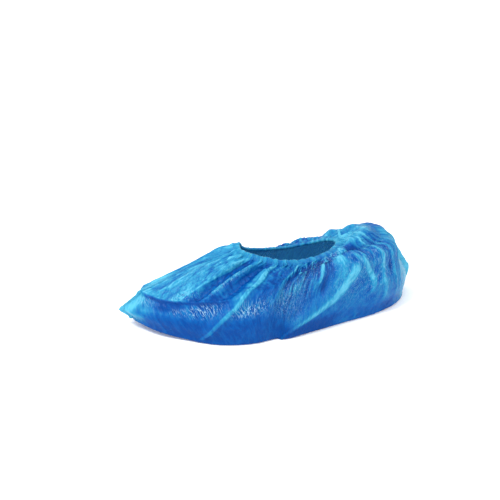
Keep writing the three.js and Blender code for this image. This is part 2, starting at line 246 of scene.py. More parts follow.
# The main folds, which the solids have too, from the toe along the outer side.
FOLDS = (
    Fold(0.02, 0.027, 0.035, 0.0, 0.5, 0.25, 0.5),
    Fold(0.058, 0.075, 0.1, 0.0, 0.58, 0.35, 0.7),
    Fold(0.085, 0.096, 0.112, 0.0, 0.6, -0.35, 0.6),
    Fold(0.11, 0.12, 0.121, 0.0, 0.62, 0.45, 0.6),
    Fold(0.134, 0.146, 0.15, 0.0, 0.6, -0.35, 0.6),
    Fold(0.158, 0.177, 0.155, 0.0, 1.0, 0.75, 0.7),
    Fold(0.2, 0.205, 0.2, 0.0, 0.45, 0.25, 0.6),
    Fold(0.258, 0.262, 0.243, 0.0, 0.75, 0.35, 0.6),
    Fold(0.3, 0.302, 0.3, 0.0, 0.6, 0.25, 0.5),
    Fold(0.343, 0.343, 0.336, 0.0, 0.72, 0.4, 0.5),
    Fold(0.385, 0.37, 0.36, 0.0, 0.7, 0.45, 0.6),
    Fold(0.375, 0.36, 0.275, 0.45, 1.0, 0.85, 0.85),
    Fold(0.37, 0.378, 0.406, 0.1, 0.82, 0.5, 0.6),
    Fold(0.43, 0.405, 0.43, 0.0, 0.95, 0.5, 0.6),
    Fold(0.465, 0.446, 0.436, 0.0, 0.85, 0.45, 0.6),
    Fold(0.545, 0.555, 0.56, 0.05, 0.85, 0.4, 0.6),
    Fold(0.59, 0.61, 0.615, 0.0, 0.9, 0.5, 0.7),
    Fold(0.64, 0.66, 0.66, 0.0, 0.98, 0.65, 0.8),
    Fold(0.7, 0.705, 0.7, 0.0, 0.8, 0.4, 0.6),
    Fold(0.755, 0.75, 0.74, 0.0, 0.95, 0.5, 0.6),
    Fold(0.82, 0.81, 0.81, 0.0, 0.9, 0.5, 0.7),
    Fold(0.865, 0.85, 0.85, 0.0, 1.0, 0.6, 0.7),
    Fold(0.91, 0.9, 0.885, 0.0, 0.65, 0.45, 0.6),
    Fold(0.935, 0.925, 0.915, 0.0, 0.6, -0.3, 0.6),
    Fold(0.965, 0.96, 0.95, 0.0, 0.6, 0.3, 0.6),
)


@dataclass
class Ribs:
    """The guide points of many ribs, in millimetres: an array of x, y and z for each field, and one
    number each for belly and crown."""

    opening: Array
    shoulder: Array
    sole: Array
    upper: Array
    lower: Array
    down: Array
    facing: Array
    rim: Array
    outward: Array
    belly: Array
    crown: Array


@dataclass
class CoverForm:
    """The worn form of the film, in millimetres, before its own folds and gathers.

    A place is (u, v): u is the share of the way round, from the toe along the outer side, and v the
    share of the way down, from the film's top edge at 0 to the floor at 1.
    """

    footprint_length: float = 293.0
    footprint_width: float = 112.0
    heel_height: float = 84.0
    opening_front_height: float = 77.0
    opening_outer_height: float = 67.0
    opening_inner_height: float = 61.0
    opening_rear_height: float = 70.0
    opening_length: float = 102.0
    opening_width: float = 50.0
    opening_centre_x: float = -6.0
    opening_centre_y: float = 14.0
    piece_gap: float = 0.3
    floor_corner: float = 4.0
    rib_lean: float = 0.08
    shoulder_lean: float = 0.4
    hem_width: float = 7.0
    vamp_end: float = 0.5
    shoulder_end: float = 0.6
    wall_end: float = 0.95
    belly_skew: float = 1.2
    belly_ease: float = 1.5
    step: float = 0.002
    sole: ClosedCurve = field(init=False)
    shoulder: ClosedCurve = field(init=False)
    rounding: ClosedCurve = field(init=False)
    opening: ClosedCurve = field(init=False)
    way_round: float = field(init=False)

    def __post_init__(self) -> None:
        """Lays the closed curves that the ribs run between."""
        half_width, half_length, heel = self.footprint_width / 2, self.footprint_length / 2, self.heel_height
        self.sole = ClosedCurve([(s.sole_x * half_width, s.sole_y * half_length, 0.0) for s in STATIONS])
        self.shoulder = ClosedCurve(
            [(s.shoulder_x * half_width, s.shoulder_y * half_length, s.up * heel) for s in STATIONS]
        )
        self.rounding = ClosedCurve([(s.corner * heel, s.belly * heel, s.crown * heel) for s in STATIONS])
        self.opening = ClosedCurve([self._opening_point(np.radians(s.turn)) for s in STATIONS])
        self.way_round = self.sole.length()

    def _opening_point(self, angle: float) -> tuple[float, float, float]:
        """The hem's fold at one place round the opening.

        Args:
            angle: The angle round the opening from its toe end, in radians.

        Returns:
            The point's x, y and z.
        """
        middle = (self.opening_front_height + self.opening_rear_height) / 2
        slope = (self.opening_rear_height - self.opening_front_height) / 2
        dip = middle - (self.opening_outer_height + self.opening_inner_height) / 2
        tilt = (self.opening_outer_height - self.opening_inner_height) / 2
        sine, cosine = np.sin(angle), np.cos(angle)
        return (
            self.opening_centre_x + sine * self.opening_width / 2,
            self.opening_centre_y - cosine * self.opening_length / 2,
            middle - slope * cosine - dip * sine**2 + tilt * sine,
        )

    def _tangent(self, curve: ClosedCurve, place: Array) -> Array:
        """The way that a curve runs at each place."""
        return unit(curve.at(place + self.step / 2) - curve.at(place - self.step / 2))

    def ribs(self, place: Array) -> Ribs:
        """The guide points of the ribs, which run down the film from the opening to the sole.

        Args:
            place: Shares of the way round (u), of any shape.

        Returns:
            The guide points of one rib for each place.
        """
        lean = self.rib_lean * np.sin(2 * np.pi * place)
        at_shoulder, at_sole = place - self.shoulder_lean * lean, place - lean
        opening, shoulder = self.opening.at(place), self.shoulder.at(at_shoulder)
        sole, rounding = self.sole.at(at_sole), self.rounding.at(at_shoulder)
        corner = rounding[..., :1]
        upper = shoulder + unit(opening - shoulder) * corner
        lower = shoulder + unit(sole - shoulder) * corner
        run = self._tangent(self.opening, place)
        facing = unit(np.cross(upper - opening, run))
        down = np.cross(run, facing)
        rim = opening + down * (self.hem_width + self.piece_gap)
        edge = self._tangent(self.sole, at_sole)
        outward = unit(np.stack([edge[..., 1], -edge[..., 0], np.zeros_like(edge[..., 0])], -1))
        belly, crown = rounding[..., 1:2], rounding[..., 2:]
        return Ribs(opening, shoulder, sole, upper, lower, down, facing, rim, outward, belly, crown)

    def base(self, place: Array, fall: Array) -> Array:
        """Points of the film without its folds.

        Args:
            place: Shares of the way round (u).
            fall: Shares of the way down (v), of a shape that goes with place.

        Returns:
            The points, with x, y and z along the last axis.
        """
        rib, v = self.ribs(place), np.asarray(fall, float)[..., None]
        share = np.clip(v / self.vamp_end, 0, 1)
        vamp = rib.rim + (rib.upper - rib.rim) * share
        vamp = vamp + np.array((0.0, 0.0, 1.0)) * rib.crown * np.sin(np.pi * share) ** 2
        share = np.clip((v - self.vamp_end) / (self.shoulder_end - self.vamp_end), 0, 1)
        bend = (1 - share) ** 2 * rib.upper + 2 * share * (1 - share) * rib.shoulder + share**2 * rib.lower
        low = rib.sole + unit(rib.shoulder - rib.sole) * self.floor_corner
        share = np.clip((v - self.shoulder_end) / (self.wall_end - self.shoulder_end), 0, 1)
        bow = rib.belly * np.sin(np.pi * share**self.belly_skew) ** self.belly_ease
        wall = rib.lower + (low - rib.lower) * share + rib.outward * bow
        share = np.clip((v - self.wall_end) / (1 - self.wall_end), 0, 1)
        edge = rib.sole - rib.outward * self.floor_corner
        turn = (1 - share) ** 2 * low + 2 * share * (1 - share) * rib.sole + share**2 * edge
        upper = np.where(v <= self.vamp_end, vamp, np.where(v <= self.shoulder_end, bend, wall))
        return np.where(v <= self.wall_end, upper, turn)

    def normal(self, place: Array, fall: Array) -> Array:
        """The way out from the film.

        Args:
            place: Shares of the way round (u).
            fall: Shares of the way down (v), of a shape that goes with place.

        Returns:
            A vector of length 1 for each place.
        """
        fall = np.asarray(fall, float)
        above, below = np.maximum(fall - self.step, 0), np.minimum(fall + self.step, 1)
        run = self.base(place + self.step, fall) - self.base(place - self.step, fall)
        drop = self.base(place, below) - self.base(place, above)
        return np.where(fall[..., None] == 0, self.ribs(place).facing, unit(np.cross(drop, run)))

    def depth(self, place: Array, fall: Array) -> Array:
        """How far below the film's top edge places lie.

        Args:
            place: Shares of the way round (u).
            fall: Shares of the way down (v), of a shape that goes with place.

        Returns:
            The way down the film to each place, in millimetres.
        """
        rib = self.ribs(place)
        vamp = np.linalg.norm(rib.upper - rib.rim, axis=-1)
        wall = np.linalg.norm(rib.sole - rib.shoulder, axis=-1)
        lower = vamp + wall * (fall - self.vamp_end) / (1 - self.vamp_end)
        return np.where(fall < self.vamp_end, vamp * fall / self.vamp_end, lower)


def linear(colour: str) -> tuple[float, float, float, float]:
    """Turns an sRGB hex colour such as #3390DA to the linear colour that a shader takes."""
    shares = [int(colour[k : k + 2], 16) / 255 for k in (1, 3, 5)]
    return (*(s / 12.92 if s <= 0.04045 else ((s + 0.055) / 1.055) ** 2.4 for s in shares), 1.0)


def add_node(
    tree: bpy.types.NodeTree, kind: str, settings: dict | None = None, links: dict | None = None
) -> bpy.types.Node:
    """Adds one node to a material.

    Args:
        tree: The material's node tree.
        kind: The node's Blender type.
        settings: Values by the name of a property, or by the name or number of an input.
        links: Output sockets by the name or number of the input that they feed.

    Returns:
        The new node.
    """
    node = tree.nodes.new(kind)
    for name, value in (settings or {}).items():
        if isinstance(name, str) and name not in node.inputs:
            setattr(node, name, value)
        else:
            node.inputs[name].default_value = value
    for name, socket in (links or {}).items():
        tree.links.new(socket, node.inputs[name])
    return node


def ladder(rows: int, columns: int) -> Array:
    """Four-sided faces over rings of points, numbered ring by ring.

    Args:
        rows: Rings of points.
        columns: Points in a ring.

    Returns:
        A row of four point numbers for each face.
    """
    row, column = np.meshgrid(np.arange(rows - 1), np.arange(columns), indexing="ij")
    here, below, beside = row * columns, (row + 1) * columns, (column + 1) % columns
    return np.stack([here + column, below + column, below + beside, here + beside], -1).reshape(-1, 4)


class Slot(Enum):
    """The record's material slots."""

    FILM = "blue_film"
    RUBBER = "natural_rubber"


@dataclass
class PieceMesh:
    """A mesh to be made, with what its material reads at each point. Lengths in millimetres."""

    points: Array
    faces: list[list[int]]
    place: Array
    pull: Array
    free: Array
    crinkle_and_glint: Array

    def _paint(self, mesh: bpy.types.Mesh, name: str, values: Array) -> None:
        """Writes one number, or one x, y and z, for each point of the mesh."""
        kind, column = ("FLOAT", "value") if values.ndim == 1 else ("FLOAT_VECTOR", "vector")
        mesh.attributes.new(name, kind, "POINT").data.foreach_set(column, values.astype(np.float32).ravel())

    def make(self, name: str, slot: Slot, finish: bpy.types.Material) -> bpy.types.Object:
        """Makes the piece, riding on the part.

        Args:
            name: The piece's name.
            slot: The record's material slot; not used.
            finish: Its material.

        Returns:
            The piece, in metres.
        """
        mesh = bpy.data.meshes.new(name)
        mesh.from_pydata((self.points * MM).tolist(), [], self.faces)
        mesh.shade_smooth()
        self._paint(mesh, "film_place", self.place * MM)
        self._paint(mesh, "film_pull", self.pull * MM)
        self._paint(mesh, "painted_light_and_shade", self.free)
        self._paint(mesh, "crinkle_and_glint", np.clip(self.crinkle_and_glint, 0, 1))
        mesh.materials.append(finish)
        piece = bpy.data.objects.new(name, mesh)
        bpy.context.scene.collection.objects.link(piece)
        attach(piece, "root")
        return piece


@dataclass(frozen=True)
class Grain:
    """A pattern in the film: how many millimetres its features measure across, how many times as long
    they are the way that the film is drawn, how many finer layers it has, whether it makes sharp ridges,
    its usual lowest and highest values, how far those two lighten the film, which paints shade in the
    pattern's hollows and light on its crests, and how high it stands in millimetres."""

    size: float
    length: float
    layers: float
    ridged: bool
    values: tuple[float, float]
    relief_shade_tones: tuple[float, float]
    height: float


@dataclass(frozen=True)
class BlownPolyethyleneFilm:
    """Polyethylene film, about 0.03 mm thick, blown and lightly embossed, dyed blue in the melt.

    The eye sees a thin glossy skin, creased all over. Its colour is painted light and shade: deep blue
    where it is pressed on the form below and shaded, cyan where a fold or a fin stands free and light
    comes through it, with short white painted glints where it has crinkles. The emboss is coarser than
    the real one, whose dots of about 0.4 mm don't show at this distance.
    """

    name: str = "blown_polyethylene_film"
    # The ramp's colours run from painted shade, where the film is pressed, to painted light, where light
    # comes through it.
    pressed: str = "#00428F"
    resting: str = "#0459A5"
    lifted: str = "#1976B0"
    raised: str = "#2D95BF"
    free: str = "#56B8D7"
    # The colour of the painted glints on the crinkles.
    painted_glint: str = "#A6D2EA"
    lit_through: str = "#3FA4E0"
    ior: float = 1.51
    specular: float = 0.1
    roughness: float = 0.24
    roughness_spread: float = 0.16
    through: float = 0.15
    quiet: float = 0.45
    mottle: Grain = Grain(14.0, 1.0, 3.0, False, (0.2, 0.8), (-0.1, 0.1), 0.6)
    crumple: Grain = Grain(8.0, 1.6, 3.0, True, (0.1, 1.3), (-0.14, 0.26), 1.1)
    crease: Grain = Grain(3.4, 1.8, 2.0, True, (0.1, 1.3), (-0.15, 0.28), 0.5)
    crinkle: Grain = Grain(1.5, 2.0, 2.0, True, (0.1, 1.3), (-0.06, 0.1), 0.3)
    emboss: Grain = Grain(1.1, 1.0, 1.0, False, (0.2, 0.8), (-0.04, 0.04), 0.06)
    ridge_offset: float = 0.9
    ridge_gain: float = 1.0
    painted_glint_values: tuple[float, float] = (0.78, 1.05)
    painted_glint_share: float = 0.9

    def material(self) -> bpy.types.Material:
        """Builds the material's nodes.

        Returns:
            The material.
        """
        material = bpy.data.materials.new(self.name)
        material.use_nodes = True
        tree = material.node_tree
        tree.nodes.clear()
        place = add_node(tree, "ShaderNodeAttribute", {"attribute_name": "film_place"}).outputs["Vector"]
        pull = add_node(tree, "ShaderNodeAttribute", {"attribute_name": "film_pull"}).outputs["Vector"]
        # The painted light and shade of the film, from the mesh.
        free = add_node(tree, "ShaderNodeAttribute", {"attribute_name": "painted_light_and_shade"}).outputs["Fac"]
        # Where the film has crinkles: it strengthens the fine relief and lays the painted glints.
        crinkle_and_glint = add_node(tree, "ShaderNodeAttribute", {"attribute_name": "crinkle_and_glint"}).outputs["Fac"]
        lively = add_node(
            tree,
            "ShaderNodeMath",
            {"operation": "MULTIPLY_ADD", 1: 1 - self.quiet, 2: self.quiet},
            {0: crinkle_and_glint},
        ).outputs[0]
        shade, normal, values = free, None, {}
        for grain in (self.mottle, self.crumple, self.crease, self.crinkle, self.emboss):
            fine = 1 / (grain.size * MM)
            vector = add_node(
                tree,
                "ShaderNodeMapping",
                {"Scale": (fine, fine, fine / grain.length)},
                {"Vector": pull if grain.length > 1 else place},
            ).outputs["Vector"]
            settings = {"noise_type": "RIDGED_MULTIFRACTAL"} if grain.ridged else {}
            settings |= {"Offset": self.ridge_offset, "Gain": self.ridge_gain} if grain.ridged else {}
            settings |= {"Scale": 1.0, "Detail": grain.layers}
            value = add_node(tree, "ShaderNodeTexNoise", settings, {"Vector": vector}).outputs["Fac"]
            # Each pattern paints shade in its hollows and light on its crests, as its bump raises them.
            (low, high), (dark, light) = grain.values, grain.relief_shade_tones
            tone = add_node(
                tree,
                "ShaderNodeMapRange",
                {"clamp": False, "From Min": low, "From Max": high, "To Min": dark, "To Max": light},
                {0: value},
            ).outputs[0]
            shade = add_node(
                tree, "ShaderNodeMath", {"operation": "MULTIPLY_ADD"}, {0: tone, 1: lively, 2: shade}
            ).outputs[0]
            below = {"Normal": normal} if normal else {}
            normal = add_node(
                tree,
                "ShaderNodeBump",
                {"Distance": grain.height * MM},
                {"Height": value, "Strength": lively, **below},
            ).outputs["Normal"]
            values[grain] = value
        # The ramp turns the painted light and shade into the film's colour.
        ramp = add_node(tree, "ShaderNodeValToRGB", {}, {"Fac": shade})
        colours = (self.pressed, self.resting, self.lifted, self.raised, self.free)
        for _ in colours[2:]:
            ramp.color_ramp.elements.new(0.5)
        for index, colour in enumerate(colours):
            ramp.color_ramp.elements[index].position = index / (len(colours) - 1)
            ramp.color_ramp.elements[index].color = linear(colour)
        # Painted highlights: short white glints on the crests of the finest pattern, where the film has
        # crinkles.
        low, high = self.painted_glint_values
        crest = add_node(
            tree,
            "ShaderNodeMapRange",
            {"From Min": low, "From Max": high, "To Min": 0.0, "To Max": self.painted_glint_share},
            {0: values[self.crinkle]},
        ).outputs[0]
        painted_glint_mask = add_node(
            tree, "ShaderNodeMath", {"operation": "MULTIPLY"}, {0: crest, 1: crinkle_and_glint}
        ).outputs[0]
        # A Mix node's inputs 6 and 7 are its two colours, and its output 2 is the mixed one.
        colour = add_node(
            tree,
            "ShaderNodeMix",
            {"data_type": "RGBA", 7: linear(self.painted_glint)},
            {0: painted_glint_mask, 6: ramp.outputs["Color"]},
        ).outputs[2]
        smoothest = self.roughness - self.roughness_spread / 2
        rough = add_node(
            tree,
            "ShaderNodeMath",
            {"operation": "MULTIPLY_ADD", 1: self.roughness_spread, 2: smoothest},
            {0: values[self.mottle]},
        ).outputs[0]
        skin = add_node(
            tree,
            "ShaderNodeBsdfPrincipled",
            {"IOR": self.ior, "Specular IOR Level": self.specular},
            {"Base Color": colour, "Roughness": rough, "Normal": normal},
        ).outputs["BSDF"]
        glow = add_node(
            tree, "ShaderNodeBsdfTranslucent", {"Color": linear(self.lit_through)}, {"Normal": normal}
        ).outputs["BSDF"]
        mixed = add_node(tree, "ShaderNodeMixShader", {0: self.through}, {1: skin, 2: glow})
        add_node(tree, "ShaderNodeOutputMaterial", {}, {"Surface": mixed.outputs["Shader"]})
        return material


@dataclass(frozen=True)
class ExtrudedRubberThread:
    """Natural rubber thread, cut square or extruded round and dusted with talc: matt cream with fine
    dust specks."""

    name: str = "extruded_natural_rubber"
    rubber: str = "#E6DFCF"
    dust: str = "#F4F1E8"
    ior: float = 1.52
    roughness: float = 0.62
    speck_size: float = 0.6
    speck_layers: float = 2.0
    speck_height: float = 0.1
    speck_strength: float = 0.4

    def material(self) -> bpy.types.Material:
        """Builds the material's nodes.

        Returns:
            The material.
        """
        material = bpy.data.materials.new(self.name)
        material.use_nodes = True
        tree = material.node_tree
        tree.nodes.clear()
        place = add_node(tree, "ShaderNodeAttribute", {"attribute_name": "film_place"}).outputs["Vector"]
        speck = add_node(
            tree,
            "ShaderNodeTexNoise",
            {"Scale": 1 / (self.speck_size * MM), "Detail": self.speck_layers},
            {"Vector": place},
        ).outputs["Fac"]
        colour = add_node(
            tree,
            "ShaderNodeMix",
            {"data_type": "RGBA", 6: linear(self.rubber), 7: linear(self.dust)},
            {0: speck},
        ).outputs[2]
        normal = add_node(
            tree,
            "ShaderNodeBump",
            {"Strength": self.speck_strength, "Distance": self.speck_height * MM},
            {"Height": speck},
        ).outputs["Normal"]
        skin = add_node(
            tree,
            "ShaderNodeBsdfPrincipled",
            {"IOR": self.ior, "Roughness": self.roughness},
            {"Base Color": colour, "Normal": normal},
        ).outputs["BSDF"]
        add_node(tree, "ShaderNodeOutputMaterial", {}, {"Surface": skin})
        return material


@dataclass(frozen=True)
class Pleat:
    """A finer fold than the solids have. start, via, end, top and bottom are as in Fold. height and
    width, from its middle to its side, are in millimetres, flank is the share of the width that its side
    takes, and free is how far it is painted lighter, as light comes through it, below 0 where it is
    painted darker as shade."""

    start: float
    via: float
    end: float
    top: float
    bottom: float
    height: float
    width: float
    flank: float
    free: float


@dataclass(frozen=True)
class Patch:
    """A stretch of film: its middle, its half length the way round and the way down, the share of them
    that its margin takes, and how much it has of what its table says."""

    place: float
    fall: float
    across: float
    down: float
    margin: float
    amount: float

    def share(self, place: Array, fall: Array) -> Array:
        """How far places belong to the patch.

        Args:
            place: Shares of the way round.
            fall: Shares of the way down.

        Returns:
            From 0 outside the patch to 1 inside its margin.
        """
        x = 1 - np.abs(away(place, self.place)) / self.across
        y = 1 - np.abs(fall - self.fall) / self.down
        return smooth(x, 0, self.margin) * smooth(y, 0, self.margin)


@dataclass(frozen=True)
class Swell:
    """A broad swelling or dent of the whole film: its middle, its reach the way round and the way down,
    and how far it goes out from the film and up, in millimetres."""

    place: float
    fall: float
    across: float
    down: float
    out: float
    up: float


# Pleats that run down the ribs: the strips of the vamp, the two long bands and the arch at the heel.
PLEATS = (
    Pleat(0.062, 0.078, 0.1, -0.1, 0.56, 0.6, 6.0, 0.5, 0.16),
    Pleat(0.091, 0.097, 0.102, -0.1, 0.58, -0.7, 9.5, 0.35, -0.12),
    Pleat(0.112, 0.118, 0.121, -0.1, 0.57, 0.8, 5.0, 0.6, 0.36),
    Pleat(0.14, 0.144, 0.146, -0.1, 0.48, -0.6, 11.0, 0.5, -0.14),
    Pleat(0.165, 0.172, 0.172, -0.1, 0.62, 0.6, 8.0, 1.0, 0.24),
    Pleat(0.163, 0.183, 0.157, -0.05, 1.0, 1.2, 4.4, 0.45, 0.5),
    Pleat(0.186, 0.19, 0.196, -0.1, 0.45, 0.4, 3.0, 1.0, 0.2),
    Pleat(0.258, 0.267, 0.243, -0.05, 0.66, 0.7, 3.6, 0.6, 0.25),
    Pleat(0.343, 0.343, 0.337, 0.0, 0.66, 0.7, 3.8, 0.6, 0.35),
    Pleat(0.381, 0.37, 0.358, -0.05, 0.62, 0.8, 3.4, 0.8, 0.16),
    Pleat(0.37, 0.362, 0.352, -0.05, 0.5, -0.5, 2.4, 1.0, -0.2),
    Pleat(0.391, 0.39, 0.386, 0.05, 0.52, -0.6, 6.0, 0.5, -0.3),
    Pleat(0.374, 0.357, 0.28, 0.54, 1.03, 1.1, 5.6, 0.75, 0.52),
    Pleat(0.374, 0.381, 0.406, 0.1, 0.75, 0.7, 2.6, 0.7, 0.3),
    Pleat(0.372, 0.397, 0.404, 0.5, 0.8, 0.8, 2.8, 0.7, 0.34),
)

# Pleats that run the way that the film is drawn: short ones at the hem, and the arcs round the heel.
DRAWN_PLEATS = (
    Pleat(0.19, 0.192, 0.192, -0.1, 0.42, 0.6, 4.5, 0.7, 0.22),
    Pleat(0.25, 0.25, 0.25, -0.1, 0.47, 0.6, 5.0, 0.7, 0.22),
    Pleat(0.401, 0.399, 0.404, 0.05, 0.8, 0.5, 1.8, 1.0, 0.26),
    Pleat(0.412, 0.411, 0.418, -0.1, 0.9, 0.9, 2.8, 0.8, 0.46),
    Pleat(0.421, 0.423, 0.426, 0.2, 0.75, -0.5, 1.8, 1.0, -0.24),
    Pleat(0.431, 0.429, 0.434, -0.1, 0.9, 0.8, 2.4, 0.8, 0.4),
    Pleat(0.441, 0.443, 0.44, 0.1, 0.7, -0.5, 1.8, 1.0, -0.24),
    Pleat(0.452, 0.45, 0.44, 0.05, 0.85, 0.7, 3.0, 0.6, 0.2),
    Pleat(0.588, 0.589, 0.58, -0.1, 0.9, 0.9, 3.6, 0.6, 0.36),
)

# Painted light and shade: lighter where the film stands free and light comes through it, darker where it is
# pressed flat and where shade falls, as under the toe's edge.
PAINTED_LIGHT_AND_SHADE = (
    Patch(0.044, 0.2, 0.042, 0.34, 0.06, 0.42),
    Patch(0.0, 0.72, 0.034, 0.3, 0.8, 0.7),
    Patch(0.035, 0.69, 0.035, 0.14, 0.8, 0.26),
    Patch(0.025, 0.88, 0.04, 0.12, 0.8, 0.4),
    Patch(0.087, 0.558, 0.083, 0.022, 0.5, -0.26),
    Patch(0.105, 0.62, 0.085, 0.075, 0.12, -0.08),
    Patch(0.072, 0.62, 0.03, 0.07, 0.5, -0.22),
    Patch(0.1, 0.4, 0.022, 0.17, 0.6, 0.08),
    Patch(0.175, 0.88, 0.16, 0.2, 0.6, -0.24),
    Patch(0.05, 0.75, 0.05, 0.12, 0.8, 0.05),
    Patch(0.275, 0.26, 0.045, 0.34, 0.7, 0.18),
    Patch(0.225, 0.48, 0.035, 0.3, 0.8, -0.14),
    Patch(0.355, 0.2, 0.03, 0.3, 0.6, 0.06),
    Patch(0.46, 0.12, 0.085, 0.3, 0.6, 0.36),
    Patch(0.48, 0.72, 0.05, 0.34, 0.55, 0.5),
    Patch(0.425, 0.7, 0.02, 0.3, 0.8, 0.1),
    Patch(0.385, 0.45, 0.03, 0.2, 0.7, -0.12),
    Patch(0.33, 0.94, 0.07, 0.1, 0.5, -0.2),
    Patch(0.338, 0.95, 0.045, 0.08, 0.6, -0.28),
    Patch(0.42, 0.93, 0.03, 0.08, 0.7, -0.15),
    Patch(0.55, 0.2, 0.1, 0.35, 0.6, 0.3),
    Patch(0.965, 0.22, 0.045, 0.34, 0.3, 0.4),
    Patch(0.96, 0.45, 0.05, 0.14, 0.7, 0.3),
)

# Where the wrinkles that run down from the hem are stronger.
WRINKLED = (
    Patch(0.32, 0.22, 0.07, 0.6, 0.6, 2.6),
    Patch(0.68, 0.22, 0.07, 0.6, 0.6, 2.2),
    Patch(0.05, 0.2, 0.05, 0.35, 0.5, 0.3),
    Patch(0.45, 0.1, 0.08, 0.45, 0.7, 0.5),
    Patch(0.42, 0.7, 0.04, 0.3, 0.7, 0.5),
)

# Where the film has crinkles and painted glints, and where it is smoother than elsewhere.
CRINKLE_AND_GLINT_PATCHES = (
    Patch(0.134, 0.64, 0.04, 0.1, 0.9, 0.95),
    Patch(0.208, 0.64, 0.038, 0.1, 0.9, 1.0),
    Patch(0.03, 0.62, 0.03, 0.09, 0.8, 0.5),
    Patch(0.095, 0.67, 0.02, 0.06, 0.8, 0.4),
    Patch(0.26, 0.64, 0.05, 0.14, 0.8, 0.25),
    Patch(0.17, 0.9, 0.16, 0.17, 0.6, -0.5),
    Patch(0.3, 0.68, 0.045, 0.25, 0.8, 0.4),
    Patch(0.325, 0.35, 0.04, 0.3, 0.8, 0.4),
    Patch(0.045, 0.3, 0.04, 0.3, 0.5, 0.08),
    Patch(0.08, 0.47, 0.025, 0.09, 0.8, 0.4),
    Patch(0.118, 0.3, 0.012, 0.25, 0.8, 0.5),
    Patch(0.4, 0.6, 0.07, 0.3, 0.8, 0.25),
    Patch(0.45, 0.2, 0.06, 0.25, 0.8, 0.15),
    Patch(0.365, 0.25, 0.03, 0.3, 0.8, 0.35),
    Patch(0.74, 0.63, 0.07, 0.12, 0.7, 0.8),
    Patch(0.88, 0.62, 0.05, 0.1, 0.7, 0.8),
    Patch(0.6, 0.65, 0.05, 0.2, 0.8, 0.5),
)

# The instep, then the top, the back and the wall of the heel.
SWELLS = (
    Swell(0.955, 0.05, 0.03, 0.13, 0.0, 6.5),
    Swell(0.5, 0.2, 0.05, 0.12, 0.0, -3.5),
    Swell(0.532, 0.5, 0.04, 0.12, 0.0, 7.0),
    Swell(0.49, 0.7, 0.06, 0.25, -3.0, 0.0),
)


@dataclass(frozen=True)
class Ledge:
    """A ridge or groove round the toe: how far down the film it lies, its reach up and down, and how many
    millimetres it stands out. It goes in where that is below 0."""

    fall: float
    reach: float
    height: float


# The edge over the toe's wall, and the groove under it.
TOE_LEDGE = (Ledge(0.535, 0.02, 0.8), Ledge(0.585, 0.03, -1.1))


@dataclass(frozen=True)
class Gathers:
    """How the rubber thread draws the film in: waves that fade out down the film, and fine ruffles at
    the hem.

    Lengths are in millimetres. The free values are how far each lightens the film: painted light on the
    crests of the waves and ruffles, painted shade in their troughs, and painted light near the hem.
    """

    count: int = 27
    depth: float = 1.2
    reach: float = 30.0
    depth_kept: float = 0.4
    waves_free: float = 0.1
    uneven: Layer = Layer(22, 1, 0.35, 11)
    ruffles: Layer = Layer(190, 4, 1.1, 12)
    ruffle_reach: float = 16.0
    ruffle_span: float = 40.0
    ruffles_free: float = 0.14
    hem_free: float = 0.15


@dataclass(frozen=True)
class DrawnWays:
    """Which way the film is drawn: down the ribs, leaning along the side, and in arcs at the heel.

    Pairs are where something begins and is full, in shares of the way round from the middle of the heel.
    The arcs turn about the point heel_level down the film there, and heel_turn is what a share of the way
    down counts for beside a share of the way round.
    """

    heel_level: float = 0.4
    heel_turn: float = 0.235
    heel_edge: tuple[float, float] = (0.1, 0.16)
    side_lean: float = 0.09
    lean_rear: tuple[float, float] = (0.12, 0.22)
    lean_front: tuple[float, float] = (0.5, 0.24)
    lean_lowest: float = 0.5
    slant: float = 0.14
    slant_rear: tuple[float, float] = (0.08, 0.3)
    arc_seed: int = 50


@dataclass(frozen=True)
class Folding:
    """What all folds have in common. height and width are the tallest's and the widest's, in
    millimetres. rise and fall are where along a fold its ends slope, and low is where down the film the
    folds grow lower."""

    height: float = 6.0
    width: float = 20.0
    rise: float = 0.15
    fall: float = 0.75
    low: tuple[float, float] = (0.7, 0.95)
    low_loss: float = 0.7
    # How far the folds are painted lighter on their crests and darker in their valleys.
    free: float = 0.16


@dataclass(frozen=True)
class Pleating:
    """What all pleats have in common, as shares: how wide their ends are, how their width and place
    waver, where along them they rise and fall, and how much of their tone is lost at the lower end and
    at the hem."""

    end_width: float = 0.45
    end_power: float = 0.6
    waver: Layer = Layer(1, 9, 0.22, 61)
    waver_place: float = 0.0016
    rise: float = 0.12
    fall: float = 0.9
    low_start: float = 0.5
    low_loss: float = 0.45
    hem_loss: float = 0.5


